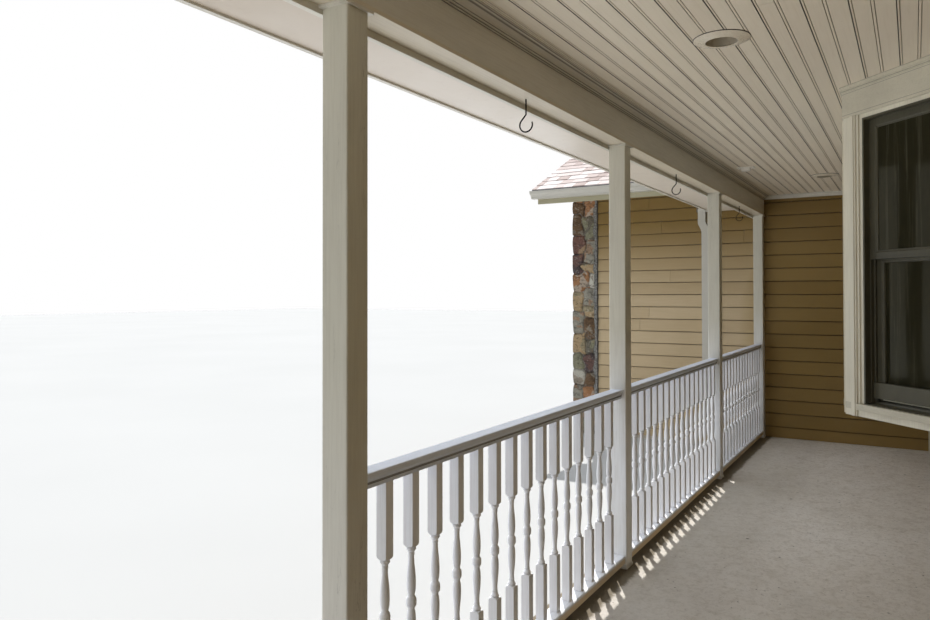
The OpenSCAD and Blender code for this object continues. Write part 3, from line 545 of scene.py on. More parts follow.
def stage_floor():
    """Pale grey as the camera sees it, paler in the light that it gives back."""
    f = Finish("stage_floor", None, 0.9, 0.2)
    soft = f.noise(0.3, detail=3)
    shown = f.mix(f.span(soft, 0.3, 0.7), (180, 180, 179), (177, 177, 176))
    f.base = f.mix(f.node("LightPath").outputs["Is Camera Ray"], (205, 206, 208), shown)
    return f.done()


# Heights of painted shade lines in the creases of the crown moulding, the rail's cove and the frieze
crown_shade_lines = [ceiling_low.z - d for d in (0.0075, 0.0125, 0.032, 0.0395, 0.045)]
rail_shade_lines = [rail_low.z + d for d in (0.0125, 0.0145, 0.0165)]
frieze_shade_lines = [frieze_high.z - d for d in (0.002, 0.0235, 0.0355)] + [frieze_low.z + 0.013]
# The foot rail's side turns tan: painted warm light reflected from the floor.
foot_bounce_light = (foot_high.z - 0.007, foot_high.z - 0.014, (232, 206, 158))

# Finishes that the pieces made below wear
boards = beaded_boards()
tan = lap_siding()
stones = field_stone()
bedding = mortar()
roofing = shingle("shingles", 0.55)
faded_roofing = shingle("faded_shingles", 0.08)
deck_wood = raw_wood()
dark_metal = metal_paint("drip_edge", (66, 70, 82), (90, 90, 92))
# The wing's gutter and downspout are cream, painted darker still to stand in for the shade they lie in.
wing_metal = metal_paint("cream_metal", (192, 188, 176), (168, 154, 124))
sash_paint = dark_frame()
glass = dark_glass()
# A dark ring that paints the shadow round each downlight's rim
gasket = lamp_face("gasket", (52, 40, 28), (36, 28, 20))


def dress(names, finish):
    """Finish CAD nodes. A name that ends in _ stands for all that begin with it. The last call counts."""
    for name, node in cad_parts.items():
        if any(name == key or (key.endswith("_") and name.startswith(key)) for key in names.split()):
            node.data.materials.clear()
            node.data.materials.append(finish)


def dress_nodes():
    # The posts turn paler and bluer low down: painted light from the ground.
    white_z = painted_wood(
        "white_paint_up", (210, 206, 190), "z", edge=0.001, light_fade=(1.4, 0.7, (248, 250, 254)), cracks=True
    )
    # Posts 1 and 2 wear a darker copy of the post paint: painted shade, less pale low down than the other
    # posts.
    shaded_near_white = painted_wood(
        "white_paint_near_shaded", (206, 202, 185), "z", edge=0.001, light_fade=(1.4, 0.7, (222, 218, 208)), cracks=True
    )
    white_x = painted_wood("white_paint_along", (216, 211, 197), "x")
    # The rails are painted bluish white: a painted reflection of the sky.
    sky_tinted_rail_paint = painted_wood(
        "sky_tinted_rail_paint", (230, 237, 252), "x", (176, 174, 180), 0.4, 0.0008, rail_shade_lines, shade_half=0.0016
    )
    stick_paint = painted_wood("stick_paint", (236, 236, 239), "z", (172, 166, 160), 0.3, 0.0006)
    trim_white = painted_wood("trim_paint", (232, 226, 206), "z", wear=0.3, edge=0.001)
    frieze_paint = painted_wood(
        "frieze_paint", (212, 206, 186), "x", wear=0.3, edge=0.001, shade_lines=frieze_shade_lines
    )
    foot_paint = painted_wood("foot_paint", (240, 242, 248), "x", wear=0.3, edge=0.0008, light_fade=foot_bounce_light)
    soffit_paint = metal_paint("soffit_panel", (228, 218, 203), (176, 158, 134), shade_from=-0.3)
    dress("slab", concrete())
    dress("post_", white_z)
    dress("post_1 post_2", shaded_near_white)
    dress("post_caps beam_ end_beam wall_moulding fascia rake_board", white_x)
    dress("beam_under_board", painted_wood("under_paint", (214, 203, 180), "x", wear=0.3))
    dress("ceiling", boards)
    dress("crown_moulding", painted_wood("crown_paint", (220, 214, 200), "x", wear=0.3, shade_lines=crown_shade_lines))
    dress("downlight_trims", lamp_face("lamp_rim", (232, 222, 202), (218, 207, 185)))
    dress("downlight_lamps", lamp_face("lamp_inside", (176, 162, 132), (152, 138, 110)))
    dress("ceiling_fixture", lamp_face("box_white", (255, 252, 244), (246, 240, 228)))
    dress("soffit gable_panel wing_soffit wing_ends", soffit_paint)
    dress("gutter", metal_paint("white_metal", (236, 235, 230)))
    dress("downspout wing_gutter", wing_metal)
    dress("roof_deck", deck_wood)
    dress("roof_shingles wing_roof", roofing)
    dress("top_rails end_rails", sky_tinted_rail_paint)
    dress("bottom_rails", foot_paint)
    dress("balusters_ end_balusters", stick_paint)
    dress("plant_hooks", black_wire())
    dress("house_wall end_wall", plaster())
    dress("house_siding end_siding", tan)
    dress("bay_floor bay_wall_ bay_casings corner_board", trim_white)
    dress("bay_sill", painted_wood("trim_paint_along", (212, 206, 186), "x", wear=0.3, edge=0.001))
    dress("bay_frieze", frieze_paint)
    dress("bay_sashes", sash_paint)
    dress("bay_glass", glass)
    dress("stone_corner", stones)
    # The wing's fascia is cream, painted darker still to stand in for the shade it lies in.
    dress("wing_fascia", painted_wood("cream_paint", (178, 172, 142), "y"))


# Meshes


def smooth(value, low, high):
    """From 0 at low to 1 at high, with no kink at either."""
    t = min(1.0, max(0.0, (value - low) / (high - low)))
    return t * t * (3 - 2 * t)


def neighbours(row):
    """Each item of a closed row with the next one."""
    return list(zip(row, row[1:] + row[:1]))


def turning(polygon):
    """Twice the area of a polygon, above 0 where it runs anticlockwise."""
    return sum(a[0] * b[1] - b[0] * a[1] for a, b in neighbours(polygon))


def rectangle(x0, y0, x1, y1):
    return [(x0, y0), (x1, y0), (x1, y1), (x0, y1)]


def prism_faces(n):
    """The ends and sides of a solid between two rings of n points."""
    sides = [(i, (i + 1) % n, n + (i + 1) % n, n + i) for i in range(n)]
    return [tuple(range(n - 1, -1, -1)), tuple(range(n, 2 * n))] + sides


class Solids:
    """Closed solids gathered into one piece, each with a tone of its own."""

    def __init__(self):
        self.points, self.faces, self.tones, self.rounded = [], [], [], []

    def add(self, points, faces, tone=PLAIN):
        first = len(self.points)
        self.points += [tuple(p) for p in points]
        for face in faces:
            self.face([first + i for i in face], tone)

    def face(self, corners, tone=PLAIN, rounded=False):
        """One face between points that are there already."""
        self.faces.append(tuple(corners))
        self.tones.append(tone)
        self.rounded.append(rounded)

    def run(self, outline, axis, start, end, tone=PLAIN):
        """An outline run along an axis. Its points go (y, z) for x, (x, z) for y and (x, y) for z."""
        flip = (turning(outline) < 0) != (axis == "y")
        ring = outline[::-1] if flip else outline

        def at(p, t):
            return {"x": (t, p[0], p[1]), "y": (p[0], t, p[1]), "z": (p[0], p[1], t)}[axis]

        self.add([at(p, t) for t in (start, end) for p in ring], prism_faces(len(ring)), tone)

    def box(self, low, high):
        x0, y0, z0 = low
        x1, y1, z1 = high
        self.run(rectangle(x0, y0, x1, y1), "z", z0, z1)

    def made(self, name, material, slot=None, stands_for=()):
        mesh = mesh_of(name, self.points, self.faces)
        mesh.validate()
        tone = mesh.attributes.new("tone", "FLOAT", "FACE")
        tone.data.foreach_set("value", self.tones)
        mesh.polygons.foreach_set("use_smooth", self.rounded)
        mesh.materials.append(material)
        mesh.update()
        piece = placed(name, mesh)
        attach(piece, "root")
        if stands_for:
            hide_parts(*stands_for)
        return piece


# Siding

# The shortest and the lowest piece of board that is laid
LEAST_RUN = 0.02
LEAST_RISE = 0.004
# Where boards meet on the end wall: the course, counted from COURSE_AT, and the place across the porch
END_JOINTS = {7: -1.928, 8: -1.826, 11: -1.596, 14: -0.842, 15: -1.686, 17: -1.822}
END_GAP = 0.0022
# House boards: their length, the least of the first and the last one in a course, and the gap between two
HOUSE_BOARD, FIRST_BOARD, LAST_BOARD, HOUSE_GAP = 3.66, 0.8, 0.25, 0.0016
# How much of the house wall each flank of the bay cuts away beside the bay's floor
BAY_CUT = 0.1273


def course_outline(face, back, low, high):
    """One lap of siding: its lower edge stands out, its top lies under the next lap."""
    away = 1 if back > face else -1
    slope = LAP_DEPTH / COURSE
    notch = min(0.006, (high - low) / 3)
    tucked = face + away * (slope * (high - low) + 0.004)
    return [
        (face + away * 0.0015, low),
        (face, low + 0.002),
        (face + away * slope * (high - low - notch), high - notch),
        (tucked, high - notch),
        (tucked, high),
        (back, high),
        (back, low),
    ]


def end_runs(low):
    """The stretches of a course on the end wall that starts at low: from y to y and from z to z."""
    high = low + COURSE
    left, right, wing_stop = stone_high.y, house_high.y, wing_high.y
    if low < slab_high.z - 0.001:
        runs = [(left, slab_low.y, max(low, end_low.z), high)]
        if high > slab_high.z + LEAST_RISE:
            runs.append((slab_low.y, right, slab_high.z, high))
        return runs
    if high <= SOFFIT_AT:
        return [(left, right, low, high)]
    runs = [(left, wing_stop, low, min(high, WING_EAVE))]
    meet = fascia_low.y + max(0.0, (high - fascia_high.z) / PORCH_RISE)
    if low < SOFFIT_AT:
        meet = fascia_low.y + 0.02
        runs.append((wing_stop, meet, low, SOFFIT_AT))
    return runs + [(meet, right, low, high)]


def end_siding():
    """Laps on the end wall, inside the porch and out to the stones, following the CAD outline."""
    rng = random.Random(11)
    solids = Solids()
    first = math.floor((end_low.z - COURSE_AT) / COURSE)
    last = math.ceil((end_high.z - COURSE_AT) / COURSE)
    for k in range(first, last):
        for start, end, z0, z1 in end_runs(COURSE_AT + k * COURSE):
            if end - start < LEAST_RUN or z1 - z0 < LEAST_RISE:
                continue
            cut = END_JOINTS.get(k, start)
            parts = [(start, cut - END_GAP), (cut, end)] if start < cut < end else [(start, end)]
            for a, b in parts:
                solids.run(course_outline(end_high.x, end_low.x, z0, z1), "y", a, b, rng.random())
    solids.made("end_siding_laps", tan, "tan_siding", ("end_siding",))


def cut_run(start, end, rng):
    """The boards of a course between start and end, with fine joints."""
    out = []
    at = start
    stop = start + rng.uniform(FIRST_BOARD, HOUSE_BOARD)
    while at < end - LEAST_RUN:
        if end - stop < LAST_BOARD:
            stop = end
        out.append((at, stop - (HOUSE_GAP if stop < end else 0)))
        at, stop = stop, stop + HOUSE_BOARD
    return out


def house_spans(low, high):
    """Where a strip of the house wall has siding, from x to x: all along, or on both sides of the bay."""
    if bay_high.z < (low + high) / 2 < window_high.z:
        return [(house_low.x, bay_low.x + BAY_CUT), (bay_high.x - BAY_CUT, house_high.x)]
    return [(house_low.x, house_high.x)]


def house_siding():
    """Laps on the house wall, round the bay."""
    rng = random.Random(12)
    solids = Solids()
    first = math.floor((house_low.z - COURSE_AT) / COURSE)
    last = math.ceil((house_high.z - COURSE_AT) / COURSE)
    for k in range(first, last):
        low = max(COURSE_AT + k * COURSE, house_low.z)
        high = min(COURSE_AT + (k + 1) * COURSE, house_high.z)
        levels = [low] + [z for z in (bay_high.z, window_high.z) if low < z < high] + [high]
        for z0, z1 in zip(levels, levels[1:]):
            if z1 - z0 < LEAST_RISE:
                continue
            for start, end in house_spans(z0, z1):
                for a, b in cut_run(start, end, rng):
                    solids.run(course_outline(house_low.y, house_high.y, z0, z1), "x", a, b, rng.random())
    solids.made("house_siding_laps", tan, "tan_siding", ("house_siding",))


# Ceiling

# Outlines of the beads: across the board, and up from its face
GROOVE = 0.0046
EDGE_BEAD = [
    (0.0, GROOVE), (0.001, GROOVE), (0.0026, 0.0004), (0.005, 0.0), (0.0078, 0.0006), (0.0096, GROOVE),
    (0.0112, 0.0),
]
MIDDLE_BEAD = [
    (-0.0068, 0.0), (-0.0052, GROOVE), (-0.0036, 0.0004), (0.0, 0.0), (0.0036, 0.0004), (0.0052, GROOVE),
    (0.0068, 0.0),
]
LAST_EDGE = [(-0.0014, 0.0), (-0.0006, GROOVE)]
# The least width of a board that still has its middle bead
BEADED_FROM = 0.09
# Where ceiling boards meet end to end: a place on the board and how far along the porch
CEILING_JOINTS = [(-0.352, -1.051), (-0.15, -1.951), (-0.054, -2.009), (0.31, 0.9), (-0.49, 1.6), (0.6, -3.1)]
CEILING_GAP = 0.0025
# A downlight: the radius of its rim, and that of the hole in the boards
LIGHT_RIM = 0.105
LIGHT_HOLE = 0.082


def board_outline(y0, y1):
    """A ceiling board seen from its end, with a groove and a bead at its first edge and at its middle."""
    line = [(y0 + u, w) for u, w in EDGE_BEAD]
    if y1 - y0 > BEADED_FROM:
        line += [(y0 + BOARD / 2 + u, w) for u, w in MIDDLE_BEAD]
    line += [(y1 + u, w) for u, w in LAST_EDGE]
    top = ceiling_high.z
    return [(y, ceiling_low.z + w) for y, w in line] + [(line[-1][0], top), (y0, top)]


def open_for_light(piece, x, y):
    """Cut the hole of a downlight through the boards."""
    turns = [i * math.pi / 32 for i in range(64)]
    can = Solids()
    ring = [(x + LIGHT_HOLE * math.cos(t), y + LIGHT_HOLE * math.sin(t)) for t in turns]
    can.run(ring, "z", ceiling_low.z - 0.05, ceiling_high.z + 0.05)
    tool = placed("can", mesh_of("can", can.points, can.faces))
    hole = piece.modifiers.new("hole", "BOOLEAN")
    hole.operation = "DIFFERENCE"
    hole.solver = "EXACT"
    hole.object = tool
    with bpy.context.temp_override(object=piece, active_object=piece):
        bpy.ops.object.modifier_apply(modifier=hole.name)
    bpy.data.objects.remove(tool)


def ceiling_boards():
    """Beaded boards over the whole ceiling, open at the downlights."""
    rng = random.Random(13)
    solids = Solids()
    count = math.ceil((ceiling_high.y - BOARD_AT) / BOARD)
    edges = [BOARD_AT + i * BOARD for i in range(1, count)]
    edges = [y for y in edges if ceiling_low.y + 0.01 < y < ceiling_high.y - 0.01]
    edges = [ceiling_low.y] + edges + [ceiling_high.y]
    for y0, y1 in zip(edges, edges[1:]):
        cuts = sorted(x for y, x in CEILING_JOINTS if y0 < y < y1)
        ends = [ceiling_low.x] + cuts + [ceiling_high.x]
        for x0, x1 in zip(ends, ends[1:]):
            gap = CEILING_GAP if x1 < ceiling_high.x else 0
            solids.run(board_outline(y0, y1), "x", x0, x1 - gap, rng.random())
    piece = solids.made("ceiling_boards", boards, "ceiling_boards", ("ceiling",))
    low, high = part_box("downlight_trims")
    for x in (low.x + LIGHT_RIM, high.x - LIGHT_RIM):
        open_for_light(piece, x, (low.y + high.y) / 2)


def ring_solid(solids, centre, inner, outer, z0, z1, steps=64):
    """A flat ring round a vertical line."""
    points = []
    for i in range(steps):
        c, s = math.cos(2 * math.pi * i / steps), math.sin(2 * math.pi * i / steps)
        for radius, z in ((inner, z0), (outer, z0), (outer, z1), (inner, z1)):
            points.append((centre[0] + radius * c, centre[1] + radius * s, z))
    faces = []
    for i in range(steps):
        a, b = 4 * i, 4 * ((i + 1) % steps)
        faces += [(a + k, b + k, b + (k + 1) % 4, a + (k + 1) % 4) for k in range(4)]
    solids.add(points, faces)


def light_gaskets():
    """A dark ring of painted shadow between each downlight's rim and the boards."""
    low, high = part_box("downlight_trims")
    radius = (high.y - low.y) / 2
    inner, outer = radius - 0.006, radius + 0.002
    z0, z1 = ceiling_low.z - 0.0025, ceiling_low.z + 0.001
    solids = Solids()
    for x in (low.x + radius, high.x - radius):
        ring_solid(solids, (x, (low.y + high.y) / 2), inner, outer, z0, z1)
    solids.made("light_gaskets", gasket)


# Stones

# Stones of the corner as the photo shows them, in mm: from and to along the side, from and to over the
# floor, and the number of the colour. Those that start before CORNER_STONE reach round to the front
STONES = [
    (0, 145, 2335, 2450, 0), (150, 262, 2300, 2450, 4), (0, 122, 2085, 2325, 0), (130, 262, 2045, 2290, 7),
    (5, 150, 1885, 2075, 3), (150, 268, 1775, 2030, 1), (10, 130, 1660, 1875, 6), (60, 262, 1680, 1765, 2),
    (0, 188, 1462, 1650, 4), (200, 262, 1515, 1645, 5), (10, 122, 1235, 1450, 2), (130, 268, 1300, 1490, 1),
    (128, 268, 1163, 1285, 2), (0, 130, 985, 1222, 1), (140, 262, 920, 1148, 0), (5, 150, 750, 970, 2),
    (165, 262, 760, 905, 7), (10, 128, 570, 738, 7), (138, 262, 535, 745, 6), (146, 262, 390, 522, 0),
    (0, 136, 405, 560, 5), (0, 118, 205, 395, 1), (126, 264, 230, 380, 4), (0, 150, 20, 195, 2),
    (158, 264, 70, 220, 0), (158, 264, -80, 60, 3), (0, 150, -148, 10, 7), (158, 264, -148, -90, 1),
]
CORNER_STONE = 12
# Heights of the stones at the corner above the eave
GABLE_STONES = (2.64, 2.83, 2.97)
# How thick the stones are laid, and how far the pointed strip and the gap beside it stand back
VENEER, STRIP_BACK, GAP_BACK = 0.04, 0.010, 0.025
# The gap's width, how far the face goes along the front and along the side, and where its strip starts
STONE_GAP = 0.006
STONE_WIDE = stone_high.x - stone_low.x
STONE_REACH = stone_high.y - stone_low.y - STONE_GAP
STRIP_AT = STONE_REACH - 0.032
# Into how many steps the face is divided: along the front, along the side, up the wall, up the gable
FRONT_STEPS, SIDE_STEPS, ROWS, GABLE_ROWS = 72, 50, 352, 46
# Seeds of the stones, and of the noise that bends their edges, which would follow the clock without one
STONE_SEED, BEND_SEED = 21, 21


class Rubble:
    """A rubble face laid out flat: s runs from the corner along the side, and below 0 along the front."""

    def __init__(self, rng):
        self.stones = []
        for u0, u1, z0, z1, colour in STONES:
            start = -rng.uniform(0.08, 0.2) if u0 < CORNER_STONE else u0 / 1000
            self.put(rng, start, u1 / 1000, slab_high.z + z0 / 1000, slab_high.z + z1 / 1000, colour)
        at = 0.0
        while at < stone_high.z:
            tall = rng.uniform(0.12, 0.24)
            s = -STONE_WIDE - rng.uniform(0, 0.1)
            while s < -0.16:
                wide = rng.uniform(0.13, 0.3)
                shift = rng.uniform(-0.03, 0.03)
                self.put(rng, s, min(s + wide, -0.14), at + shift, at + tall + shift, rng.randrange(8))
                s += wide + 0.01
            at += tall + 0.01
        for z in GABLE_STONES:
            self.put(rng, -rng.uniform(0.1, 0.2), 0.1, z, z + 0.12, rng.randrange(8))

    def put(self, rng, s0, s1, z0, z1, colour):
        """A stone with its middle, half sizes, tilt, the four planes that its face is split in, and tone."""
        lean = 0.014
        planes = [
            (rng.uniform(-0.001, 0.005), rng.uniform(-lean, lean), rng.uniform(-lean, lean)) for _ in range(4)
        ]
        middle = ((s0 + s1) / 2, (z0 + z1) / 2)
        half = (max(0.02, (s1 - s0) / 2), (z1 - z0) / 2)
        tilt = rng.uniform(-0.26, 0.26)
        self.stones.append((middle, half, tilt, planes, (colour + 0.5) / len(STONE_COLOURS)))

    def nearest(self, u, v):
        """The stone at a place, how far outside it the place is, and how far outside the next one."""
        best, second, found = 9.0, 9.0, None
        for stone in self.stones:
            (cu, cv), (hu, hv), tilt, _, _ = stone
            over = abs(v - cv - tilt * (u - cu)) - hv
            if over > 0.1:
                continue
            off = abs(u - cu + tilt * (v - cv)) - hu
            away = math.hypot(max(off, 0.0), max(over, 0.0)) + min(max(off, over), 0.0)
            if away < best:
                best, second, found = away, best, stone
            elif away < second:
                second = away
        return found, best, second

    def at(self, s, z):
        """How far back the face lies at a place, its stone's tone, and 1 in the joints or 2 on the strip."""
        bend = noise.noise_vector(Vector((s * 9, z * 9, 3))) * 0.018
        bend += noise.noise_vector(Vector((s * 32, z * 32, 7))) * 0.007
        u, v = s + bend.x, z + bend.y
        stone, best, second = self.nearest(u, v)
        (cu, cv), (hu, hv), _, planes, tone = stone
        edge = (second - best) / 2
        pu, pv = (u - cu) / hu, (v - cv) / hv
        proud = min([0.0] + [a + b * pu + c * pv for a, b, c in planes])
        rough = noise.noise(Vector((s * 60, z * 60, 1))) * 0.0012
        joint = 1 - smooth(edge, 0.001, 0.005)
        rounding = 0.003 * (1 - smooth(edge, 0.006, 0.03))
        cut = (0.014 + 0.012 * noise.noise(Vector((s * 14, z * 14, 5)))) * (1 - smooth(edge, 0.001, 0.010))
        back = -proud + 0.0015 + rough + rounding + cut
        past = smooth(s + bend.x * 1.2, STRIP_AT - 0.003, STRIP_AT + 0.002)
        back += (STRIP_BACK + 1.5 * rough - back) * past
        return max(0.0, back), tone, joint + (2 - joint) * past

    def point(self, s, z):
        """A point of the face in space, with its tone and joint."""
        away, tone, joint = self.at(s, z)
        turn = smooth(s, -0.012, 0.012)
        away += 0.004 * (1 - smooth(abs(s), 0.0, 0.014))
        x = max(stone_high.x + min(s, 0.0) - away * turn, stone_low.x)
        y = stone_low.y + max(s, 0.0) + away * (1 - turn)
        if s < 0:
            y = min(y, stone_low.y + VENEER - 0.002)
        return (x, y, z), tone, joint


class StoneFace(Solids):
    """A piece of the rubble, whose points have a tone and a joint each."""

    def __init__(self):
        super().__init__()
        self.shades, self.joints = [], []

    def place(self, point, tone=PLAIN, joint=1.0):
        self.points.append(point)
        self.shades.append(tone)
        self.joints.append(joint)

    def made(self, name, stands_for=()):
        piece = super().made(name, stones, "stone_veneer", stands_for)
        joint = piece.data.attributes.new("joint", "FLOAT", "POINT")
        joint.data.foreach_set("value", self.joints)


def stone_shaft(rubble, columns):
    """The rubble from the ground to the wing's eave, round the corner."""
    side, front = stone_high.x - VENEER, stone_low.y + VENEER
    behind = [(side, stone_low.y + STONE_REACH), (side, front), (stone_low.x, front)]
    ring = len(columns) + len(behind)
    shaft = StoneFace()
    for i in range(ROWS + 1):
        z = WING_EAVE * i / ROWS
        for s in columns:
            shaft.place(*rubble.point(s, z))
        for x, y in behind:
            shaft.place((x, y, z))
    shaft.face(range(ring - 1, -1, -1))
    shaft.face(range(ROWS * ring, (ROWS + 1) * ring))
    for i in range(ROWS):
        for k in range(ring):
            a, b = i * ring + k, i * ring + (k + 1) % ring
            shaft.face((a, b, b + ring, a + ring), shaft.shades[a], k < len(columns) - 1)
    shaft.made("stone_rubble", ("stone_corner",))


def stone_gable(rubble, columns):
    """The rubble of the gable over the eave, up to the wing's roof."""
    gable = StoneFace()
    for s in columns:
        top = stone_high.z - (s + STONE_WIDE) * math.tan(WING_ANGLE)
        for j in range(GABLE_ROWS + 1):
            gable.place(*rubble.point(s, WING_EAVE + (top - WING_EAVE) * j / GABLE_ROWS))
    n, last = GABLE_ROWS + 1, len(columns) - 1
    for i in range(last):
        for a in range(i * n, i * n + GABLE_ROWS):
            gable.face((a, a + n, a + n + 1, a + 1), gable.shades[a], True)
    rim = [i * n for i in range(last + 1)] + [last * n + j for j in range(1, n)]
    rim += [i * n + GABLE_ROWS for i in range(last - 1, -1, -1)] + list(range(GABLE_ROWS - 1, 0, -1))
    first, m = len(gable.points), len(rim)
    for i in rim:
        x, _, z = gable.points[i]
        gable.place((x, stone_low.y + VENEER, z))
    for i, (a, b) in enumerate(neighbours(rim)):
        gable.face((b, a, first + i, first + (i + 1) % m))
    gable.face(range(first + m - 1, first - 1, -1))
    gable.made("gable_rubble")


def stone_corner():
    """Rubble laid round the wing's corner and up its gable, with a dark gap beside the siding."""
    noise.seed_set(BEND_SEED)
    rubble = Rubble(random.Random(STONE_SEED))
    front = [-STONE_WIDE + STONE_WIDE * i / FRONT_STEPS for i in range(FRONT_STEPS)]
    side = [STONE_REACH * i / SIDE_STEPS for i in range(SIDE_STEPS + 1)]
    stone_shaft(rubble, front + side)
    stone_gable(rubble, front + side[:1])
    gap = Solids()
    low = (stone_high.x - VENEER, stone_high.y - STONE_GAP, 0)
    gap.box(low, (stone_high.x - GAP_BACK, stone_high.y, WING_EAVE))
    gap.made("stone_pointing", bedding, "stone_veneer")


# Roofs

# Shingles: how much of a course shows, and how tall a tab is against that
EXPOSURE, TAB_TALL = 0.143, 1.15
# How thick a tab's foot is, the share of it that is gone at the top, and half the gap between tabs
TAB_LIFT, TAB_THINS, TAB_GAP = 0.011, 0.88, 0.0012
# How wide tabs are, and how far they reach below their course
TAB_WIDTHS = (0.11, 0.14, 0.165, 0.2)
TAB_DROPS = (0.0, 0.0, 0.004, 0.01)
# Twice the area of the least piece of a tab that is laid
LEAST_TAB = 2e-5
# The layer under the porch's tabs, the wing's deck and the width of its drip edge
PORCH_LAYER, WING_DECK, DRIP = 0.003, 0.018, 0.002


def lay(solids, polygon, top, slope, thick, tone=PLAIN):
    """A solid over a polygon seen from above, from thick below the slope up to the height that top gives."""
    area = turning(polygon)
    if abs(area) < LEAST_TAB:
        return
    ring = polygon if area > 0 else polygon[::-1]
    points = [(x, y, slope(x, y) - thick) for x, y in ring] + [(x, y, top(x, y)) for x, y in ring]
    solids.add(points, prism_faces(len(ring)), tone)


def shingle_slope(solids, border, up, height, angle, rng):
    """Courses of tabs on a slope over a rectangle. It rises from the first corner on, in the level way up."""
    edge = border[0]
    side = (-up[1], up[0])
    step = EXPOSURE * math.cos(angle)
    tall = step * TAB_TALL
    low, high = [min(c) for c in zip(*border)], [max(c) for c in zip(*border)]

    def off(x, y, way):
        """How far a place lies from the first corner in one direction."""
        return (x - edge[0]) * way[0] + (y - edge[1]) * way[1]

    def lay_tab(left, right, foot, top, thick, tone):
        """A tab, cut off where it would pass the rectangle."""
        tab = []
        for u, v in rectangle(left, foot, right, top):
            corner = [edge[i] + side[i] * u + up[i] * v for i in (0, 1)]
            tab.append(tuple(min(max(c, a), b) for c, a, b in zip(corner, low, high)))

        def rise(x, y):
            return height(x, y) + thick * (1 - TAB_THINS * min(1.0, max(0.0, (off(x, y, up) - foot) / tall)))

        lay(solids, tab, rise, height, 0.001, tone)

    reach = max(off(x, y, up) for x, y in border)
    ends = [off(x, y, side) for x, y in border]
    at = 0.0
    while at < reach - 0.01:
        left = min(ends) - rng.uniform(0, 0.16)
        while left < max(ends):
            wide = rng.choice(TAB_WIDTHS)
            drop = rng.choice(TAB_DROPS) if at else 0.0
            thick = TAB_LIFT * rng.choice((0.75, 1.0))
            right = left + (wide - TAB_GAP)
            lay_tab(left + TAB_GAP, right, at - drop, at + tall, thick, rng.random())
            left += wide
        at += step


def porch_shingles():
    """Shingle courses on the porch roof."""
    solids = Solids()

    def height(x, y):
        return roof_low.z + (y - roof_low.y) * PORCH_RISE + PORCH_LAYER

    border = rectangle(roof_low.x, roof_low.y, roof_high.x, roof_high.y)
    lay(solids, border, height, height, PORCH_LAYER, 0.2)
    shingle_slope(solids, border, (0, 1), height, math.atan(PORCH_RISE), random.Random(31))
    solids.made("porch_shingles", roofing, "shingles", ("roof_shingles",))


def wing_shingles():
    """Shingle courses on the piece of the wing's roof, over its deck and its dark drip edge."""
    solids, deck, drip = Solids(), Solids(), Solids()
    x0, x1, y0, y1 = wing_low.x, wing_high.x, wing_low.y, wing_high.y
    x_drip, y_drip = x1 - DRIP, y0 + DRIP

    def height(x, y):
        return wing_low.z + (x1 - x) * math.tan(WING_ANGLE) + WING_DECK

    lay(deck, [(x_drip, y_drip), (x_drip, y1), (x0, y1), (x0, y_drip)], height, height, WING_DECK)
    deck.made("wing_deck", deck_wood, "roof_wood", ("wing_roof",))
    lay(drip, [(x1, y0), (x1, y1), (x_drip, y1), (x_drip, y0)], height, height, WING_DECK)
    lay(drip, [(x0, y0), (x_drip, y0), (x_drip, y_drip), (x0, y_drip)], height, height, WING_DECK)
    drip.made("wing_drip_edge", dark_metal, "white_metal")
    border = [(x1, y0), (x1, y1), (x0, y1), (x0, y0)]
    shingle_slope(solids, border, (-1, 0), height, WING_ANGLE, random.Random(32))
    solids.made("wing_shingles", faded_roofing, "shingles")


# Bay window

BAY_OUT = bay_high.y - bay_low.y
BAY_LONG = bay_high.x - bay_low.x
BAY_MIDDLE = (bay_low.x + bay_high.x) / 2
BAY_FLANK = (BAY_LONG - BAY_OUT) / 2
# The bay's faces: the middle of the window's sill line, the face's turn and its length
BAY_FACES = [
    (Vector((BAY_MIDDLE + BAY_FLANK, bay_low.y + BAY_OUT / 2, window_low.z)), 45, BAY_OUT * math.sqrt(2)),
    (Vector((BAY_MIDDLE, bay_low.y, window_low.z)), 0, BAY_LONG - 2 * BAY_OUT),
    (Vector((BAY_MIDDLE - BAY_FLANK, bay_low.y + BAY_OUT / 2, window_low.z)), -45, BAY_OUT * math.sqrt(2)),
]
CASING = 0.092
JAMB = 0.025
# Heights over the sill: where the frame starts and ends, and where the two sashes meet
WINDOW_FOOT = 0.001
WINDOW_TOP = window_high.z - window_low.z - WINDOW_FOOT - JAMB
MEETING = 0.682
# Outlines of the frames: inward from the frame's edge, and into the house
LINER = [
    (-0.006, 0.0045), (0.003, 0.0045), (0.004, 0.034), (0.006, 0.036), (0.006, 0.052), (0.014, 0.054),
    (0.014, 0.060), (0.006, 0.062), (0.006, 0.080), (0.018, 0.082), (0.018, 0.088), (0.0, 0.088),
    (0.0, 0.0058), (-0.006, 0.0058),
]
UPPER_SASH = [
    (0, 0.037), (0.030, 0.037), (0.034, 0.040), (0.040, 0.041), (0.042, 0.046), (0.042, 0.052), (0, 0.052)
]
LOWER_SASH = [
    (0, 0.062), (0.034, 0.062), (0.038, 0.065), (0.045, 0.066), (0.048, 0.071), (0.048, 0.080), (0, 0.080)
]


def on_face(face, x, y, z):
    """A point of a bay face: x along it, y into the house, z over the sill."""
    middle, turn, _ = face
    t = math.radians(turn)
    return middle + Vector((x * math.cos(t) - y * math.sin(t), x * math.sin(t) + y * math.cos(t), z))


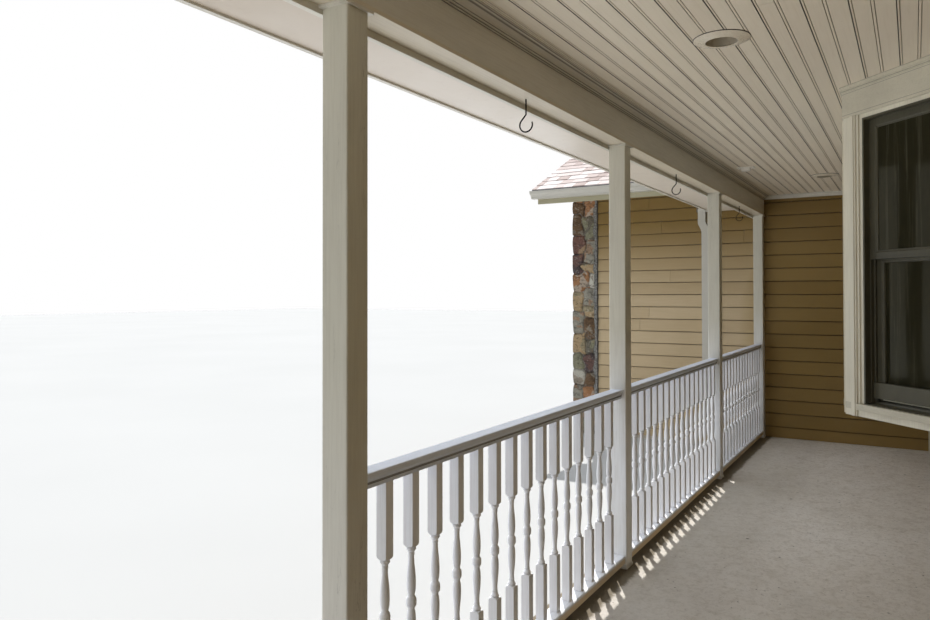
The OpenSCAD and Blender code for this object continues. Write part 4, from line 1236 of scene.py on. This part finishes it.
def frame_round(solids, face, half, z0, z1, outline):
    """A mitred frame in a bay face, out to half on both sides of the middle, with the given outline."""
    points, faces = [], []
    for i, (inward, depth) in enumerate(outline):
        for x, z in rectangle(inward - half, z0 + inward, half - inward, z1 - inward):
            points.append(on_face(face, x, depth, z))
        after = (i + 1) % len(outline)
        for k in range(4):
            after_k = (k + 1) % 4
            faces.append((i * 4 + k, i * 4 + after_k, after * 4 + after_k, after * 4 + k))
    solids.add(points, faces)


def bar(solids, face, x, half, z0, z1, y0, y1):
    """A straight bar in a bay face, with its middle at x."""
    corners = [(u, y, z) for u in (x - half, x + half) for y in (y0, y1) for z in (z0, z1)]
    faces = [(0, 1, 3, 2), (4, 6, 7, 5), (0, 4, 5, 1), (2, 3, 7, 6), (0, 2, 6, 4), (1, 5, 7, 3)]
    solids.add([on_face(face, *corner) for corner in corners], faces)


def window_sashes():
    """Dark liners and tracks, an outer upper sash and a lower sash set further in, each with its glass."""
    solids, panes = Solids(), Solids()
    for face in BAY_FACES:
        half = face[2] / 2 - CASING - JAMB
        frame_round(solids, face, half, WINDOW_FOOT, WINDOW_TOP, LINER)
        frame_round(solids, face, half - 0.005, MEETING - 0.015, WINDOW_TOP - 0.005, UPPER_SASH)
        frame_round(solids, face, half - 0.007, 0.03, MEETING + 0.015, LOWER_SASH)
        bar(solids, face, 0, half - 0.02, MEETING - 0.013, MEETING - 0.005, 0.033, 0.037)
        bar(solids, face, 0, half - 0.012, 0.031, 0.103, 0.040, 0.062)
        bar(solids, face, 0, 0.03, MEETING + 0.015, MEETING + 0.023, 0.060, 0.074)
        for x in (-0.018, 0.018):
            bar(solids, face, x, 0.005, MEETING + 0.023, MEETING + 0.03, 0.062, 0.072)
        bar(panes, face, 0, half - 0.044, MEETING + 0.025, WINDOW_TOP - 0.044, 0.0445, 0.0475)
        bar(panes, face, 0, half - 0.052, 0.1, MEETING - 0.03, 0.0725, 0.0755)
    solids.made("window_sashes", sash_paint, "sash", ("bay_sashes",))
    panes.made("window_panes", glass, "glass", ("bay_glass",))


# Downspout

PIPE_DEEP = 0.076
STRAP_LIFT = 0.0015
# Straps and collars: the height of each, how tall it is and how far the pipe leans out there
STRAPS = [(0.62, 0.025, 0), (1.55, 0.025, 0), (2.335, 0.012, 0.036), (2.225, 0.012, 0.003)]


def pipe_straps():
    """Two straps that hold the downspout, and the collars where its lengths meet."""
    low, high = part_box("downspout")
    solids = Solids()
    for z, tall, out in STRAPS:
        y = high.y - PIPE_DEEP - out
        far = (high.x + STRAP_LIFT, y + PIPE_DEEP + STRAP_LIFT, z + tall)
        solids.box((low.x - 0.002, y - STRAP_LIFT, z), far)
    solids.made("pipe_straps", wing_metal, "white_metal")


# The whole scene

FLOOR_REACH = 60

add_camera()
add_world()
add_lamps()
dress_nodes()
end_siding()
house_siding()
ceiling_boards()
stone_corner()
porch_shingles()
wing_shingles()
window_sashes()
light_gaskets()
pipe_straps()

corners = [(x, y, 0) for x, y in rectangle(-FLOOR_REACH, -FLOOR_REACH, FLOOR_REACH, FLOOR_REACH)]
floor = placed("stage_floor", mesh_of("stage_floor", corners, [(0, 1, 2, 3)]))
floor.data.materials.append(stage_floor())

bpy.context.view_layer.update()
